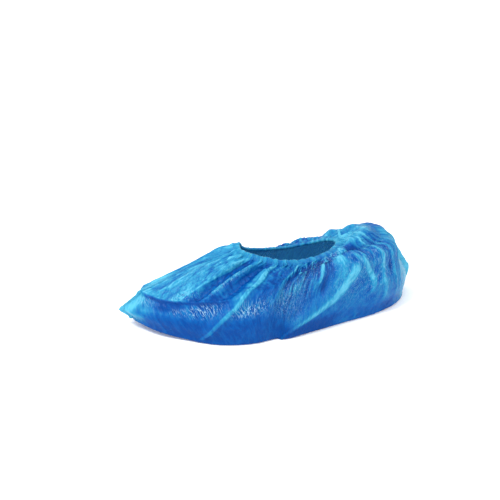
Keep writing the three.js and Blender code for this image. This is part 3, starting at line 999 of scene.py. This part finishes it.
@dataclass(frozen=True)
class Wrinkles:
    """Wrinkles that run down from the hem, finer ones that slant across them, and thin creases painted dark
    as shade.

    Depths are in millimetres. The free values are how far each kind lightens or darkens the film: painted
    light on the wrinkles' crests and painted shade in their hollows and in the creases. Pairs are where
    down the film something begins and ends.
    """

    crest: float = 0.75
    steepness: float = 2.2
    drawn: tuple[Layer, ...] = (
        Layer(70, 3, 0.3, 21),
        Layer(130, 4, 0.5, 22),
        Layer(260, 6, 0.4, 23),
        Layer(420, 9, 0.25, 24),
    )
    drawn_depth: float = 0.6
    drawn_free: float = 0.34
    drawn_middle: float = 0.1
    usual: float = 0.4
    low: tuple[float, float] = (0.5, 0.85)
    low_loss: float = 0.8
    heel_loss: float = 0.3
    hem_kept: float = 0.3
    slanted: tuple[Layer, ...] = (Layer(120, 20, 0.6, 31), Layer(240, 34, 0.5, 32))
    slanted_depth: float = 0.3
    slanted_free: float = 0.1
    slanted_low: tuple[float, float] = (0.75, 0.5)
    slanted_low_kept: float = 0.5
    slanted_crinkled: float = 0.8
    creases: tuple[Layer, ...] = (Layer(64, 8, 0.5, 33), Layer(120, 13, 0.35, 34))
    crease_width: float = 0.14
    crease_free: float = 0.5
    crease_top: tuple[float, float] = (0.58, 0.5)
    crease_low_depth: float = 0.3
    crease_low_free: float = 0.2

    def ridged(self, noise: Array) -> Array:
        """Turns noise to sharp ridges where it crosses 0."""
        return self.crest - self.steepness * np.abs(noise)


@dataclass(frozen=True)
class ToeSpring:
    """How the toe lifts off the floor: where along the cover it starts, its reach and its height.

    Lengths are in millimetres. Nothing lifts above level, and most is the share of the reach that counts.
    """

    start: float = -90.0
    reach: float = 60.0
    height: float = 9.0
    level: float = 45.0
    most: float = 0.8
    power: float = 1.5


@dataclass
class FilmBag:
    """The bag of film: vamp, shoulder, wall and sole in one sheet, with its folds, gathers, wrinkles and
    creases.

    Lengths are in millimetres. lift is how far the film stands out from its form, free how light it is
    painted, which is painted light and shade, crowd how much the wrinkles shrink where the film narrows,
    and begun how far it is clear of the hem.
    """

    form: CoverForm
    shift: Array
    columns: int = 720
    row_spans: tuple[tuple[float, float, int], ...] = (
        (0.0, 0.06, 10),
        (0.06, 0.5, 50),
        (0.5, 0.62, 16),
        (0.62, 0.95, 34),
        (0.95, 1.0, 8),
    )
    sole_rings: tuple[float, ...] = (0.06, 0.14, 0.25, 0.4, 0.6, 0.8, 0.95)
    gathers: Gathers = Gathers()
    drawn_ways: DrawnWays = DrawnWays()
    folding: Folding = Folding()
    pleating: Pleating = Pleating()
    wrinkles: Wrinkles = Wrinkles()
    toe_spring: ToeSpring = ToeSpring()
    ledge_edge: tuple[float, float] = (0.2, 0.14)
    fold_start: float = 10.0
    fall_length: float = 130.0
    crowd_power: float = 0.8
    base_free: float = 0.26
    flat_width: float = 300.0
    flat_length: float = 360.0
    flat_area: float = 0.1e6
    rows: Array = field(init=False)
    place: Array = field(init=False)
    depth: Array = field(init=False)
    lift: Array = field(init=False)
    free: Array = field(init=False)
    crinkle_and_glint: Array = field(init=False)
    crowd: Array = field(init=False)
    begun: Array = field(init=False)
    arc: Array = field(init=False)
    along: Array = field(init=False)
    at_heel: Array = field(init=False)
    drawn: Array = field(init=False)
    slanted: Array = field(init=False)

    def __post_init__(self) -> None:
        """Spaces the grid and works out how the film departs from its form."""
        form = self.form
        spans = [np.linspace(top, bottom, count, endpoint=False) for top, bottom, count in self.row_spans]
        self.rows = np.concatenate(spans + [[1.0]])[:, None]
        self.place = (np.arange(self.columns) / self.columns)[None, :]
        self.depth = form.depth(self.place, self.rows)
        self.lift = np.zeros_like(self.depth)
        self.free = np.full_like(self.depth, self.base_free)
        # Where the film has crinkles and painted glints.
        self.crinkle_and_glint = self._table(CRINKLE_AND_GLINT_PATCHES)
        run = form.base(self.place + form.step, self.rows) - form.base(self.place, self.rows)
        narrowed = np.linalg.norm(run, axis=-1) / (form.step * form.way_round)
        self.crowd = np.minimum(1, narrowed) ** self.crowd_power
        self.begun = smooth(self.depth, 0, self.fold_start)
        self._draw()
        self._gather()
        self._fold()
        self._pleat(PLEATS, self.place)
        self._pleat(DRAWN_PLEATS, self.drawn)
        self._wrinkle()
        # The patches' painted light and shade.
        self.free += self._table(PAINTED_LIGHT_AND_SHADE)
        self._turn_toe()
        self.lift[-1] = 0.0

    def _table(self, patches: tuple[Patch, ...]) -> Array:
        """The sum of a table's patches over the film."""
        return sum(patch.amount * patch.share(self.place, self.rows) for patch in patches)

    def _draw(self) -> None:
        """Works out which way the film is drawn at each place."""
        ways = self.drawn_ways
        side = away(self.place, 0.5)
        which, far = np.where(side < 0, -1.0, 1.0), np.abs(side)
        above = ways.heel_turn * np.maximum(0, ways.heel_level - self.rows)
        self.arc = np.hypot(side, above)
        angle = np.arctan2(far, above) / (np.pi / 2)
        down = ways.heel_level * angle + np.maximum(0, self.rows - ways.heel_level)
        self.along = 0.5 + 0.5 * which * down
        self.at_heel = 1 - smooth(far, *ways.heel_edge)
        lean = smooth(far, *ways.lean_front) * smooth(far, *ways.lean_rear) * ways.side_lean
        self.drawn = self.place + which * lean * np.minimum(self.rows, ways.lean_lowest)
        self.drawn = self.drawn + self.at_heel * (0.5 + which * self.arc - self.drawn)
        self.slanted = self.drawn + which * ways.slant * smooth(far, *ways.slant_rear) * self.rows

    def _drawn_noise(self, layer: Layer, slanted: bool = False) -> Array:
        """Noise whose patches are longest the way that the film is drawn.

        Args:
            layer: The noise and its patches.
            slanted: Whether it slants across that way.

        Returns:
            The noise at each point of the film, from -1 to 1.
        """
        seed = layer.seed + self.drawn_ways.arc_seed
        ribs = layer.at(self.slanted if slanted else self.drawn, self.rows)
        arcs = PatchNoise(layer.across, 2 * layer.down, seed).at(self.arc, self.along)
        return ribs * (1 - self.at_heel) + arcs * self.at_heel

    def _gather(self) -> None:
        """Ruffles the film where the rubber thread draws it in."""
        gathers = self.gathers
        fade = 0.5 + 0.5 * np.cos(np.pi * np.minimum(1, self.depth / gathers.reach))
        uneven = gathers.uneven.share * gathers.uneven.at(self.place, 0 * self.place)
        waves = fade * np.cos(2 * np.pi * (gathers.count * self.place + uneven))
        near = smooth(self.depth, gathers.ruffle_reach, 0)
        ruffles = near * gathers.ruffles.at(self.place, np.minimum(self.depth / gathers.ruffle_span, 1))
        self.lift += gathers.depth_kept * gathers.depth * waves + gathers.ruffles.share * ruffles
        self.free += gathers.waves_free * waves + gathers.ruffles_free * ruffles + gathers.hem_free * near

    def _fold(self) -> None:
        """Raises the folds that the solids have too, less so near the floor."""
        folding = self.folding
        begun = self.begun * (1 - folding.low_loss * smooth(self.rows, *folding.low))
        for fold in FOLDS:
            share = (self.rows - fold.top) / (fold.bottom - fold.top)
            half_width = fold.width * folding.width
            offset = away(self.place, bowed(fold, share)) * self.form.way_round / half_width
            ends = smooth(share, 0, folding.rise) * (1 - smooth(share, folding.fall, 1))
            level = ends * np.maximum(0, 1 - offset**2) ** 2
            self.lift += fold.height * folding.height * begun * level
            self.free += folding.free * fold.height * level

    def _pleat(self, table: tuple[Pleat, ...], place: Array) -> None:
        """Raises the finer folds of one table.

        Args:
            table: The folds.
            place: Where each point of the film lies round the cover, as the table counts it.
        """
        pleating, way_round = self.pleating, self.form.way_round
        waver = pleating.waver
        for pleat in table:
            share = (self.rows - pleat.top) / (pleat.bottom - pleat.top)
            bow = pleat.via - (pleat.start + pleat.end) / 2
            run = (pleat.end - pleat.start + 4 * (1 - 2 * share) * bow) / (pleat.bottom - pleat.top)
            steep = np.hypot(1, run * way_round / self.fall_length)
            own = PatchNoise(waver.across, waver.down, waver.seed + round(1000 * pleat.via))
            wobble = own.at(0 * self.rows, self.rows)
            full = np.sin(np.pi * np.clip(share, 0, 1)) ** pleating.end_power
            taper = pleating.end_width + (1 - pleating.end_width) * full
            wide = pleat.width * taper * (1 + waver.share * wobble)
            middle = bowed(pleat, share) + pleating.waver_place * wobble
            inside = 1 - np.abs(away(place, middle)) * way_round / (wide * steep)
            ends = smooth(share, 0, pleating.rise) * (1 - smooth(share, pleating.fall, 1))
            level = smooth(inside, 0, pleat.flank) * ends
            low = 1 - pleating.low_loss * smooth(share, pleating.low_start, 1)
            self.lift += pleat.height * self.begun * level
            self.free += pleat.free * level * low * (1 - pleating.hem_loss * (1 - self.begun))

    def _wrinkle(self) -> None:
        """Draws the wrinkles that run down from the hem, those that slant across them, and the creases, with
        painted light on their crests and painted shade in their hollows and creases."""
        kinds, begun, crowd = self.wrinkles, self.begun, self.crowd
        fade = 1 - kinds.low_loss * smooth(self.rows, *kinds.low)
        strength = (kinds.usual + self._table(WRINKLED)) * fade * (1 - kinds.heel_loss * self.at_heel)
        total = sum(layer.share * kinds.ridged(self._drawn_noise(layer)) for layer in kinds.drawn)
        at_hem = kinds.hem_kept + (1 - kinds.hem_kept) * begun
        self.lift += kinds.drawn_depth * strength * total * begun * crowd
        self.free += kinds.drawn_free * strength * (total - kinds.drawn_middle) * at_hem
        slanted = sum(layer.share * kinds.ridged(self._drawn_noise(layer, True)) for layer in kinds.slanted)
        much = kinds.slanted_low_kept + (1 - kinds.slanted_low_kept) * smooth(self.rows, *kinds.slanted_low)
        much = much + kinds.slanted_crinkled * self.crinkle_and_glint
        self.lift += kinds.slanted_depth * much * slanted * begun * crowd
        self.free += kinds.slanted_free * much * slanted
        on_top = smooth(self.rows, *kinds.crease_top)
        deep = kinds.crease_low_depth + (1 - kinds.crease_low_depth) * on_top
        dark = kinds.crease_low_free + (1 - kinds.crease_low_free) * on_top
        # The creases are painted darker: painted shade in them.
        for layer in kinds.creases:
            line = layer.share * smooth(np.abs(self._drawn_noise(layer, True)), kinds.crease_width, 0)
            self.lift -= line * begun * deep
            self.free -= kinds.crease_free * line * dark

    def _turn_toe(self) -> None:
        """Sharpens the turn from the top of the toe to its wall."""
        at_toe = smooth(np.abs(away(self.place, 0.0)), *self.ledge_edge)
        for ledge in TOE_LEDGE:
            self.lift += at_toe * ledge.height * np.exp(-(((self.rows - ledge.fall) / ledge.reach) ** 2))

    def rolled_out(self, place: Array, depth: Array) -> Array:
        """Where points lie on the film rolled into a tube, so that a pattern meets itself at the toe."""
        radius, angle = self.form.way_round / (2 * np.pi), 2 * np.pi * place
        return np.stack(np.broadcast_arrays(radius * np.cos(angle), radius * np.sin(angle), depth), -1)

    def shape(self, place: Array, fall: Array) -> Array:
        """Points of the film without its folds, with the broad swellings and the spring of the toe.

        Args:
            place: Shares of the way round (u).
            fall: Shares of the way down (v), of a shape that goes with place.

        Returns:
            The points, with x, y and z along the last axis.
        """
        points, outward, spring = self.form.base(place, fall), self.form.normal(place, fall), self.toe_spring
        for swell in SWELLS:
            x, y = away(place, swell.place) / swell.across, (fall - swell.fall) / swell.down
            share = np.exp(-(x**2) - y**2)[..., None] * (fall < 1)[..., None]
            points = points + share * (outward * swell.out + np.array((0.0, 0.0, swell.up)))
        past = np.clip((spring.start - points[..., 1]) / spring.reach, 0, spring.most)
        low = 1 - smooth(points[..., 2], 0, spring.level)
        points[..., 2] += spring.height * past**spring.power * low
        return points

    def build(self, finish: bpy.types.Material) -> bpy.types.Object:
        """Makes the film's mesh: the rings of the wall, then rings that close the sole.

        Args:
            finish: The film's material.

        Returns:
            The piece film_sheet.
        """
        points = self.shape(self.place, self.rows)
        points = points + self.form.normal(self.place, self.rows) * self.lift[..., None] - self.shift
        points[..., 2] = np.maximum(points[..., 2], 0.0)
        edge = points[-1]
        centre = edge.mean(0)
        sole = np.stack([edge + (centre - edge) * share for share in self.sole_rings])
        rings = np.concatenate([points, sole])
        last = (len(rings) - 1) * self.columns + np.arange(self.columns)
        middle = len(rings) * self.columns
        fan = [(int(a), middle, int(b)) for a, b in zip(last, np.roll(last, -1))]
        across = np.linalg.norm(sole - edge, axis=-1)
        depth = np.concatenate([self.depth, self.depth[-1] + across])
        place = np.append(self.rolled_out(self.place, depth).reshape(-1, 3), np.zeros((1, 3)), 0)
        slanted = np.concatenate([self.slanted, 0 * across + self.slanted[-1]])
        pull = np.append(self.rolled_out(slanted, depth).reshape(-1, 3), np.zeros((1, 3)), 0)
        below = np.full(across.shape, self.base_free)
        plan = PieceMesh(
            np.append(rings.reshape(-1, 3), centre[None], 0),
            ladder(len(rings), self.columns).tolist() + fan,
            place,
            pull,
            np.append(np.concatenate([self.free, below]), self.base_free),
            np.append(np.concatenate([self.crinkle_and_glint, 0 * below]), 0.0),
        )
        piece = plan.make("film_sheet", Slot.FILM, finish)
        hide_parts("film_bag")
        return piece


@dataclass
class HemCasing:
    """The film's top edge, folded inwards over the rubber thread and welded to itself. Lengths in
    millimetres."""

    bag: FilmBag
    thread_below: float = 2.5
    thread_inside: float = 2.5
    tube_radius: float = 1.7
    weld_below: float = 6.2
    weld_inside: float = -0.6
    weld_bend: float = 0.2
    frill: Layer = Layer(110, 1, 0.7, 41)
    calmed: float = 0.8
    edge_kept: float = 0.5
    top_free: float = 0.2
    frill_free: float = 0.15
    turn_steps: int = 9
    flat_steps: int = 6

    def section(self) -> list[tuple[float, float]]:
        """The hem's section, from the film's edge up, over the thread and back down inside.

        Returns:
            How far below the hem's fold and outside its face each point lies.
        """
        start = self.bag.form.hem_width + self.bag.form.piece_gap
        below, inside, radius = self.thread_below, self.thread_inside, self.tube_radius
        rise = np.linspace(start, below, self.flat_steps)
        outer = np.stack([rise, (radius - inside) * smooth(rise, start, below)], -1)
        angles = np.linspace(0, np.pi, self.turn_steps)[1:]
        turn = np.stack([below - radius * np.sin(angles), radius * np.cos(angles) - inside], -1)
        back = np.linspace(0, 1, self.flat_steps)[1:]
        out = -radius - inside + (self.weld_inside + radius + inside) * smooth(back, self.weld_bend, 1)
        inner = np.stack([below + (self.weld_below - below) * back, out], -1)
        return [(float(b), float(o)) for b, o in np.concatenate([outer, turn, inner])]

    def calm(self, below: float) -> float:
        """How much of the film's ruffles is left in the hem at a depth, in which the thread evens them
        out."""
        return 1 - self.calmed * float(smooth(below, self.weld_below, self.thread_below + self.tube_radius))

    def build(self, finish: bpy.types.Material) -> bpy.types.Object:
        """Makes the hem's mesh, ruffled as the film's edge is.

        Args:
            finish: The film's material.

        Returns:
            The piece hem_fold.
        """
        form, bag, place = self.bag.form, self.bag, self.bag.place[0]
        rib, edge_free = form.ribs(place), bag.free[0]
        flutter = self.frill.at(place, 0 * place)
        risen = bag.shape(place, 0 * place) - form.base(place, 0 * place)
        points, free, around = [], [], []
        for below, outside in self.section():
            top = 1 - min(1, below / form.hem_width)
            lift = bag.lift[0] * self.calm(below)
            rise = self.frill.share * flutter * top
            ring = rib.opening + rib.down * (below - rise)[:, None] + rib.facing * (outside + lift)[:, None]
            points.append(ring + risen)
            # The hem takes the painted light and shade of the film's edge, painted lighter towards its top.
            even = self.edge_kept * edge_free + (1 - self.edge_kept) * edge_free.mean()
            free.append(even + self.top_free * top + self.frill_free * flutter * top)
            around.append(bag.rolled_out(place, 0 * place + below - form.hem_width))
        plan = PieceMesh(
            np.concatenate(points) - bag.shift,
            ladder(len(points), bag.columns)[:, ::-1].tolist(),
            np.concatenate(around),
            np.concatenate(around),
            np.concatenate(free),
            0 * np.concatenate(free),
        )
        piece = plan.make("hem_fold", Slot.FILM, finish)
        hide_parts("hem_casing")
        return piece


@dataclass
class RubberThread:
    """The rubber thread inside the hem that draws the opening in. Lengths in millimetres."""

    hem: HemCasing
    diameter: float = 1.8
    sides: int = 12

    def build(self, finish: bpy.types.Material) -> bpy.types.Object:
        """Makes the thread's mesh, a closed ring of round section.

        Args:
            finish: The rubber's material.

        Returns:
            The piece rubber_thread.
        """
        form, bag, radius = self.hem.bag.form, self.hem.bag, self.diameter / 2
        place = bag.place[0]
        lift = bag.lift[0] * self.hem.calm(self.hem.thread_below)
        rib = form.ribs(place)
        risen = bag.shape(place, 0 * place) - form.base(place, 0 * place)
        points, around = [], []
        for angle in 2 * np.pi * np.arange(self.sides) / self.sides:
            below = self.hem.thread_below + np.cos(angle) * radius
            outside = -self.hem.thread_inside + np.sin(angle) * radius
            points.append(rib.opening + rib.down * below + rib.facing * (outside + lift)[:, None] + risen)
            around.append(bag.rolled_out(place, 0 * place + angle * radius))
        count = self.sides * bag.columns
        faces = ladder(self.sides + 1, bag.columns) % count
        around = np.concatenate(around)
        bare = np.zeros(count)
        plan = PieceMesh(np.concatenate(points) - bag.shift, faces.tolist(), around, around, bare, bare)
        piece = plan.make("rubber_thread", Slot.RUBBER, finish)
        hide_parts("elastic_cord")
        return piece


@dataclass(frozen=True)
class FinRow:
    """One level of a fin: how far down the film it lies, and how far its free edge reaches out and sways
    sideways, as shares of the weld's width."""

    down: float
    reach: float
    sway: float


@dataclass
class WeldedFin:
    """A flat fin where the two sides of the bag are welded together. Lengths in millimetres."""

    bag: FilmBag
    name: str
    node: str
    place: float
    table: tuple[FinRow, ...]
    weld_width: float = 9.0
    thickness: float = 0.35
    rooted: float = 1.0
    height: float = 90.0
    steps_down: int = 70
    steps_out: int = 12
    sway_power: float = 1.5
    waves: tuple[Layer, ...] = (Layer(40, 12, 1.0, 51), Layer(90, 12, 0.5, 52))
    wave_rows: tuple[float, ...] = (0.3, 0.6)
    flutter: float = 0.5
    root_free: float = 0.85
    edge_free: float = 0.25
    wave_free: float = 0.15

    def _between_rows(self, down: Array, shares: list[float]) -> Array:
        """Turns one share for each row of the table to millimetres at other levels down the film."""
        return np.interp(down, [row.down for row in self.table], shares) * self.weld_width

    def build(self, finish: bpy.types.Material) -> bpy.types.Object:
        """Makes the fin's mesh, a thin closed sheet that flutters towards its free edge.

        Args:
            finish: The film's material.

        Returns:
            The fin.
        """
        form, bag = self.bag.form, self.bag
        down = np.linspace(self.table[0].down, self.table[-1].down, self.steps_down)
        fall = down[:, None]
        reach = self._between_rows(down, [row.reach for row in self.table])
        sway = self._between_rows(down, [row.sway for row in self.table])
        place = np.array([self.place])
        outward = form.ribs(place).outward
        column = int(round(self.place * bag.columns)) % bag.columns
        lift = np.interp(down, bag.rows[:, 0], bag.lift[:, column])
        root = bag.shape(place, fall)[:, 0] + form.normal(place, fall)[:, 0] * lift[:, None]
        run = unit(form.base(place + form.step, fall) - form.base(place - form.step, fall))[:, 0]
        waves = sum(layer.share * layer.at(down, row) for layer, row in zip(self.waves, self.wave_rows))
        sheets = []
        for side in (-0.5, 0.5):
            for out in np.arange(self.steps_out) / (self.steps_out - 1):
                sideways = sway * out**self.sway_power + self.flutter * waves * out + side * self.thickness
                ahead = reach * out - self.rooted
                sheets.append(root + outward * ahead[:, None] + run * sideways[:, None])
        loop = sheets[: self.steps_out] + sheets[self.steps_out :][::-1]
        points = np.stack(loop, 1)
        around = len(loop)
        top, bottom = list(range(around)), [(self.steps_down - 1) * around + k for k in range(around)]
        out = np.concatenate([np.linspace(0, 1, self.steps_out), np.linspace(1, 0, self.steps_out)])
        # Painted light: the fin is painted pale as light comes through it, paler towards its edge, and
        # lighter and darker with its waves.
        free = self.root_free + self.edge_free * out[None, :] + self.wave_free * waves[:, None]
        flat = np.stack(np.broadcast_arrays(out[None, :] * reach[:, None], 0.0, fall * self.height), -1)
        plan = PieceMesh(
            points.reshape(-1, 3) - bag.shift,
            ladder(self.steps_down, around).tolist() + [top, bottom[::-1]],
            flat.reshape(-1, 3),
            flat.reshape(-1, 3),
            free.ravel(),
            0 * free.ravel(),
        )
        piece = plan.make(self.name, Slot.FILM, finish)
        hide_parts(self.node)
        return piece


# The fin of the toe, whose lower corner stands out farthest, and the heel's, with a corner halfway.
TOE_FIN = (
    FinRow(0.48, 0.0, 0.0),
    FinRow(0.55, 0.5, 0.0),
    FinRow(0.62, 0.72, 0.05),
    FinRow(0.75, 0.45, 0.0),
    FinRow(0.83, 0.72, 0.0),
    FinRow(0.93, 0.65, 0.0),
    FinRow(0.99, 0.3, 0.0),
)
HEEL_FIN = (
    FinRow(0.52, 0.12, 0.0),
    FinRow(0.58, 0.42, -0.1),
    FinRow(0.66, 0.92, 0.0),
    FinRow(0.765, 0.9, 0.0),
    FinRow(0.79, 1.1, 0.05),
    FinRow(0.82, 1.16, 0.1),
    FinRow(0.88, 1.1, 0.0),
    FinRow(0.94, 1.0, -0.1),
    FinRow(0.985, 0.7, -0.1),
)


@dataclass(frozen=True)
class SoftBox:
    """A square soft box that points at the part: its angles in degrees, its distance and size in metres."""

    name: str
    azimuth: float
    elevation: float
    distance: float
    size: float
    watts: float


@dataclass(frozen=True)
class Studio:
    """A pale floor, soft light from above and the camera at the photograph's angle. Lengths in metres."""

    target: tuple[float, float, float] = (-0.0092, -0.0079, 0.035)
    azimuth: float = 68.0
    elevation: float = 25.0
    distance: float = 0.95
    lens: float = 67.3
    shift_x: float = -0.032
    shift_y: float = 0.06
    nearest: float = 0.05
    farthest: float = 50.0
    floor_size: float = 8.0
    floor_colour: str = "#FAFBFC"
    floor_roughness: float = 0.9
    floor_glow: float = 0.1
    sky_colour: str = "#FFFFFF"
    sky_strength: float = 1.22
    soft_boxes: tuple[SoftBox, ...] = (
        SoftBox("key_soft_box", 15.0, 60.0, 1.3, 0.28, 9.5),
        SoftBox("fill_soft_box", 110.0, 35.0, 1.6, 1.2, 1.5),
    )

    def _aim(self, thing: bpy.types.Object, azimuth: float, elevation: float, distance: float) -> None:
        """Adds a camera or a lamp to the scene, and points it at the target.

        Args:
            thing: The camera or the lamp.
            azimuth: The angle round the part that it is seen at from the target, in degrees.
            elevation: Its angle above the floor, in degrees.
            distance: How far it stands from the target.
        """
        a, e = np.radians(azimuth), np.radians(elevation)
        back = Vector((np.sin(a) * np.cos(e), -np.cos(a) * np.cos(e), np.sin(e)))
        thing.location = Vector(self.target) + back * distance
        thing.rotation_mode = "QUATERNION"
        thing.rotation_quaternion = (-back).to_track_quat("-Z", "Y")
        bpy.context.scene.collection.objects.link(thing)

    def camera(self) -> None:
        """Makes the camera."""
        data = bpy.data.cameras.new("camera")
        data.lens, data.shift_x, data.shift_y = self.lens, self.shift_x, self.shift_y
        data.clip_start, data.clip_end = self.nearest, self.farthest
        camera = bpy.data.objects.new("camera", data)
        self._aim(camera, self.azimuth, self.elevation, self.distance)
        bpy.context.scene.camera = camera

    def lamps(self) -> None:
        """Makes the soft boxes."""
        for box in self.soft_boxes:
            data = bpy.data.lights.new(box.name, "AREA")
            data.size, data.energy = box.size, box.watts
            self._aim(bpy.data.objects.new(box.name, data), box.azimuth, box.elevation, box.distance)

    def floor(self) -> None:
        """Makes the floor."""
        half = self.floor_size / 2
        mesh = bpy.data.meshes.new("floor")
        corners = [(-half, -half, 0), (half, -half, 0), (half, half, 0), (-half, half, 0)]
        mesh.from_pydata(corners, [], [(0, 1, 2, 3)])
        material = bpy.data.materials.new("matt_white_paper")
        material.use_nodes = True
        skin = material.node_tree.nodes["Principled BSDF"]
        skin.inputs["Base Color"].default_value = linear(self.floor_colour)
        skin.inputs["Roughness"].default_value = self.floor_roughness
        skin.inputs["Emission Color"].default_value = linear(self.floor_colour)
        skin.inputs["Emission Strength"].default_value = self.floor_glow
        mesh.materials.append(material)
        floor = bpy.data.objects.new("floor", mesh)
        bpy.context.scene.collection.objects.link(floor)

    def build(self) -> None:
        """Makes the camera, the floor, the lamps and the sky."""
        self.camera()
        self.floor()
        self.lamps()
        world = bpy.data.worlds.new("studio")
        world.use_nodes = True
        sky = world.node_tree.nodes["Background"]
        sky.inputs["Color"].default_value = linear(self.sky_colour)
        sky.inputs["Strength"].default_value = self.sky_strength
        bpy.context.scene.world = world
        bpy.context.scene.view_settings.view_transform = "Standard"


@dataclass(frozen=True)
class PackedThread:
    """The rubber thread's solid in the frame, which tells where the form lies. Lengths in millimetres."""

    node: str = "elastic_cord"
    below: float = 2.5
    radius: float = 1.0
    sides: int = 6
    ribs_in_gather: int = 4

    def plan_shift(self, form: CoverForm, gathers: Gathers) -> Array:
        """How far the form's own origin lies from the part's, found from the solid's box.

        Args:
            form: The cover's form.
            gathers: The gathers that the thread follows.

        Returns:
            What is taken from each point of the form.
        """
        count = self.ribs_in_gather * gathers.count
        place = np.arange(count) / count
        rib = form.ribs(place)
        lift = gathers.depth * np.cos(2 * np.pi * gathers.count * place)
        rings = []
        for angle in 2 * np.pi * np.arange(self.sides) / self.sides:
            below = self.below + np.cos(angle) * self.radius
            outside = np.sin(angle) * self.radius - self.below + lift
            rings.append(rib.opening + rib.down * below + rib.facing * outside[:, None])
        points = np.concatenate(rings)
        low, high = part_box(self.node)
        shift = (points.min(0) + points.max(0)) / 2 - np.array((*((low + high) / 2),)) / MM
        return np.array((shift[0], shift[1], 0.0))


def main() -> None:
    """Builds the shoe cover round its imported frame, then the studio."""
    logging.basicConfig(level=logging.INFO, format="%(name)s: %(message)s")
    Studio().build()
    film, rubber = BlownPolyethyleneFilm().material(), ExtrudedRubberThread().material()
    form = CoverForm()
    shift = PackedThread().plan_shift(form, Gathers())
    LOG.info("plan shift %s mm", np.round(shift, 4).tolist())
    bag = FilmBag(form, shift)
    hem = HemCasing(bag)
    sheet = bag.build(film)
    fold = hem.build(film)
    thread = RubberThread(hem).build(rubber)
    fins = [
        WeldedFin(bag, "toe_fin", "toe_weld", 0.0, TOE_FIN).build(film),
        WeldedFin(bag, "heel_fin", "heel_weld", 0.5, HEEL_FIN).build(film),
    ]
    for piece in (sheet, fold, thread, *fins):
        size = [round(length, 4) for length in piece.dimensions]
        LOG.info("%s: %d faces, %s m", piece.name, len(piece.data.polygons), size)


if __name__ == "__main__":
    main()
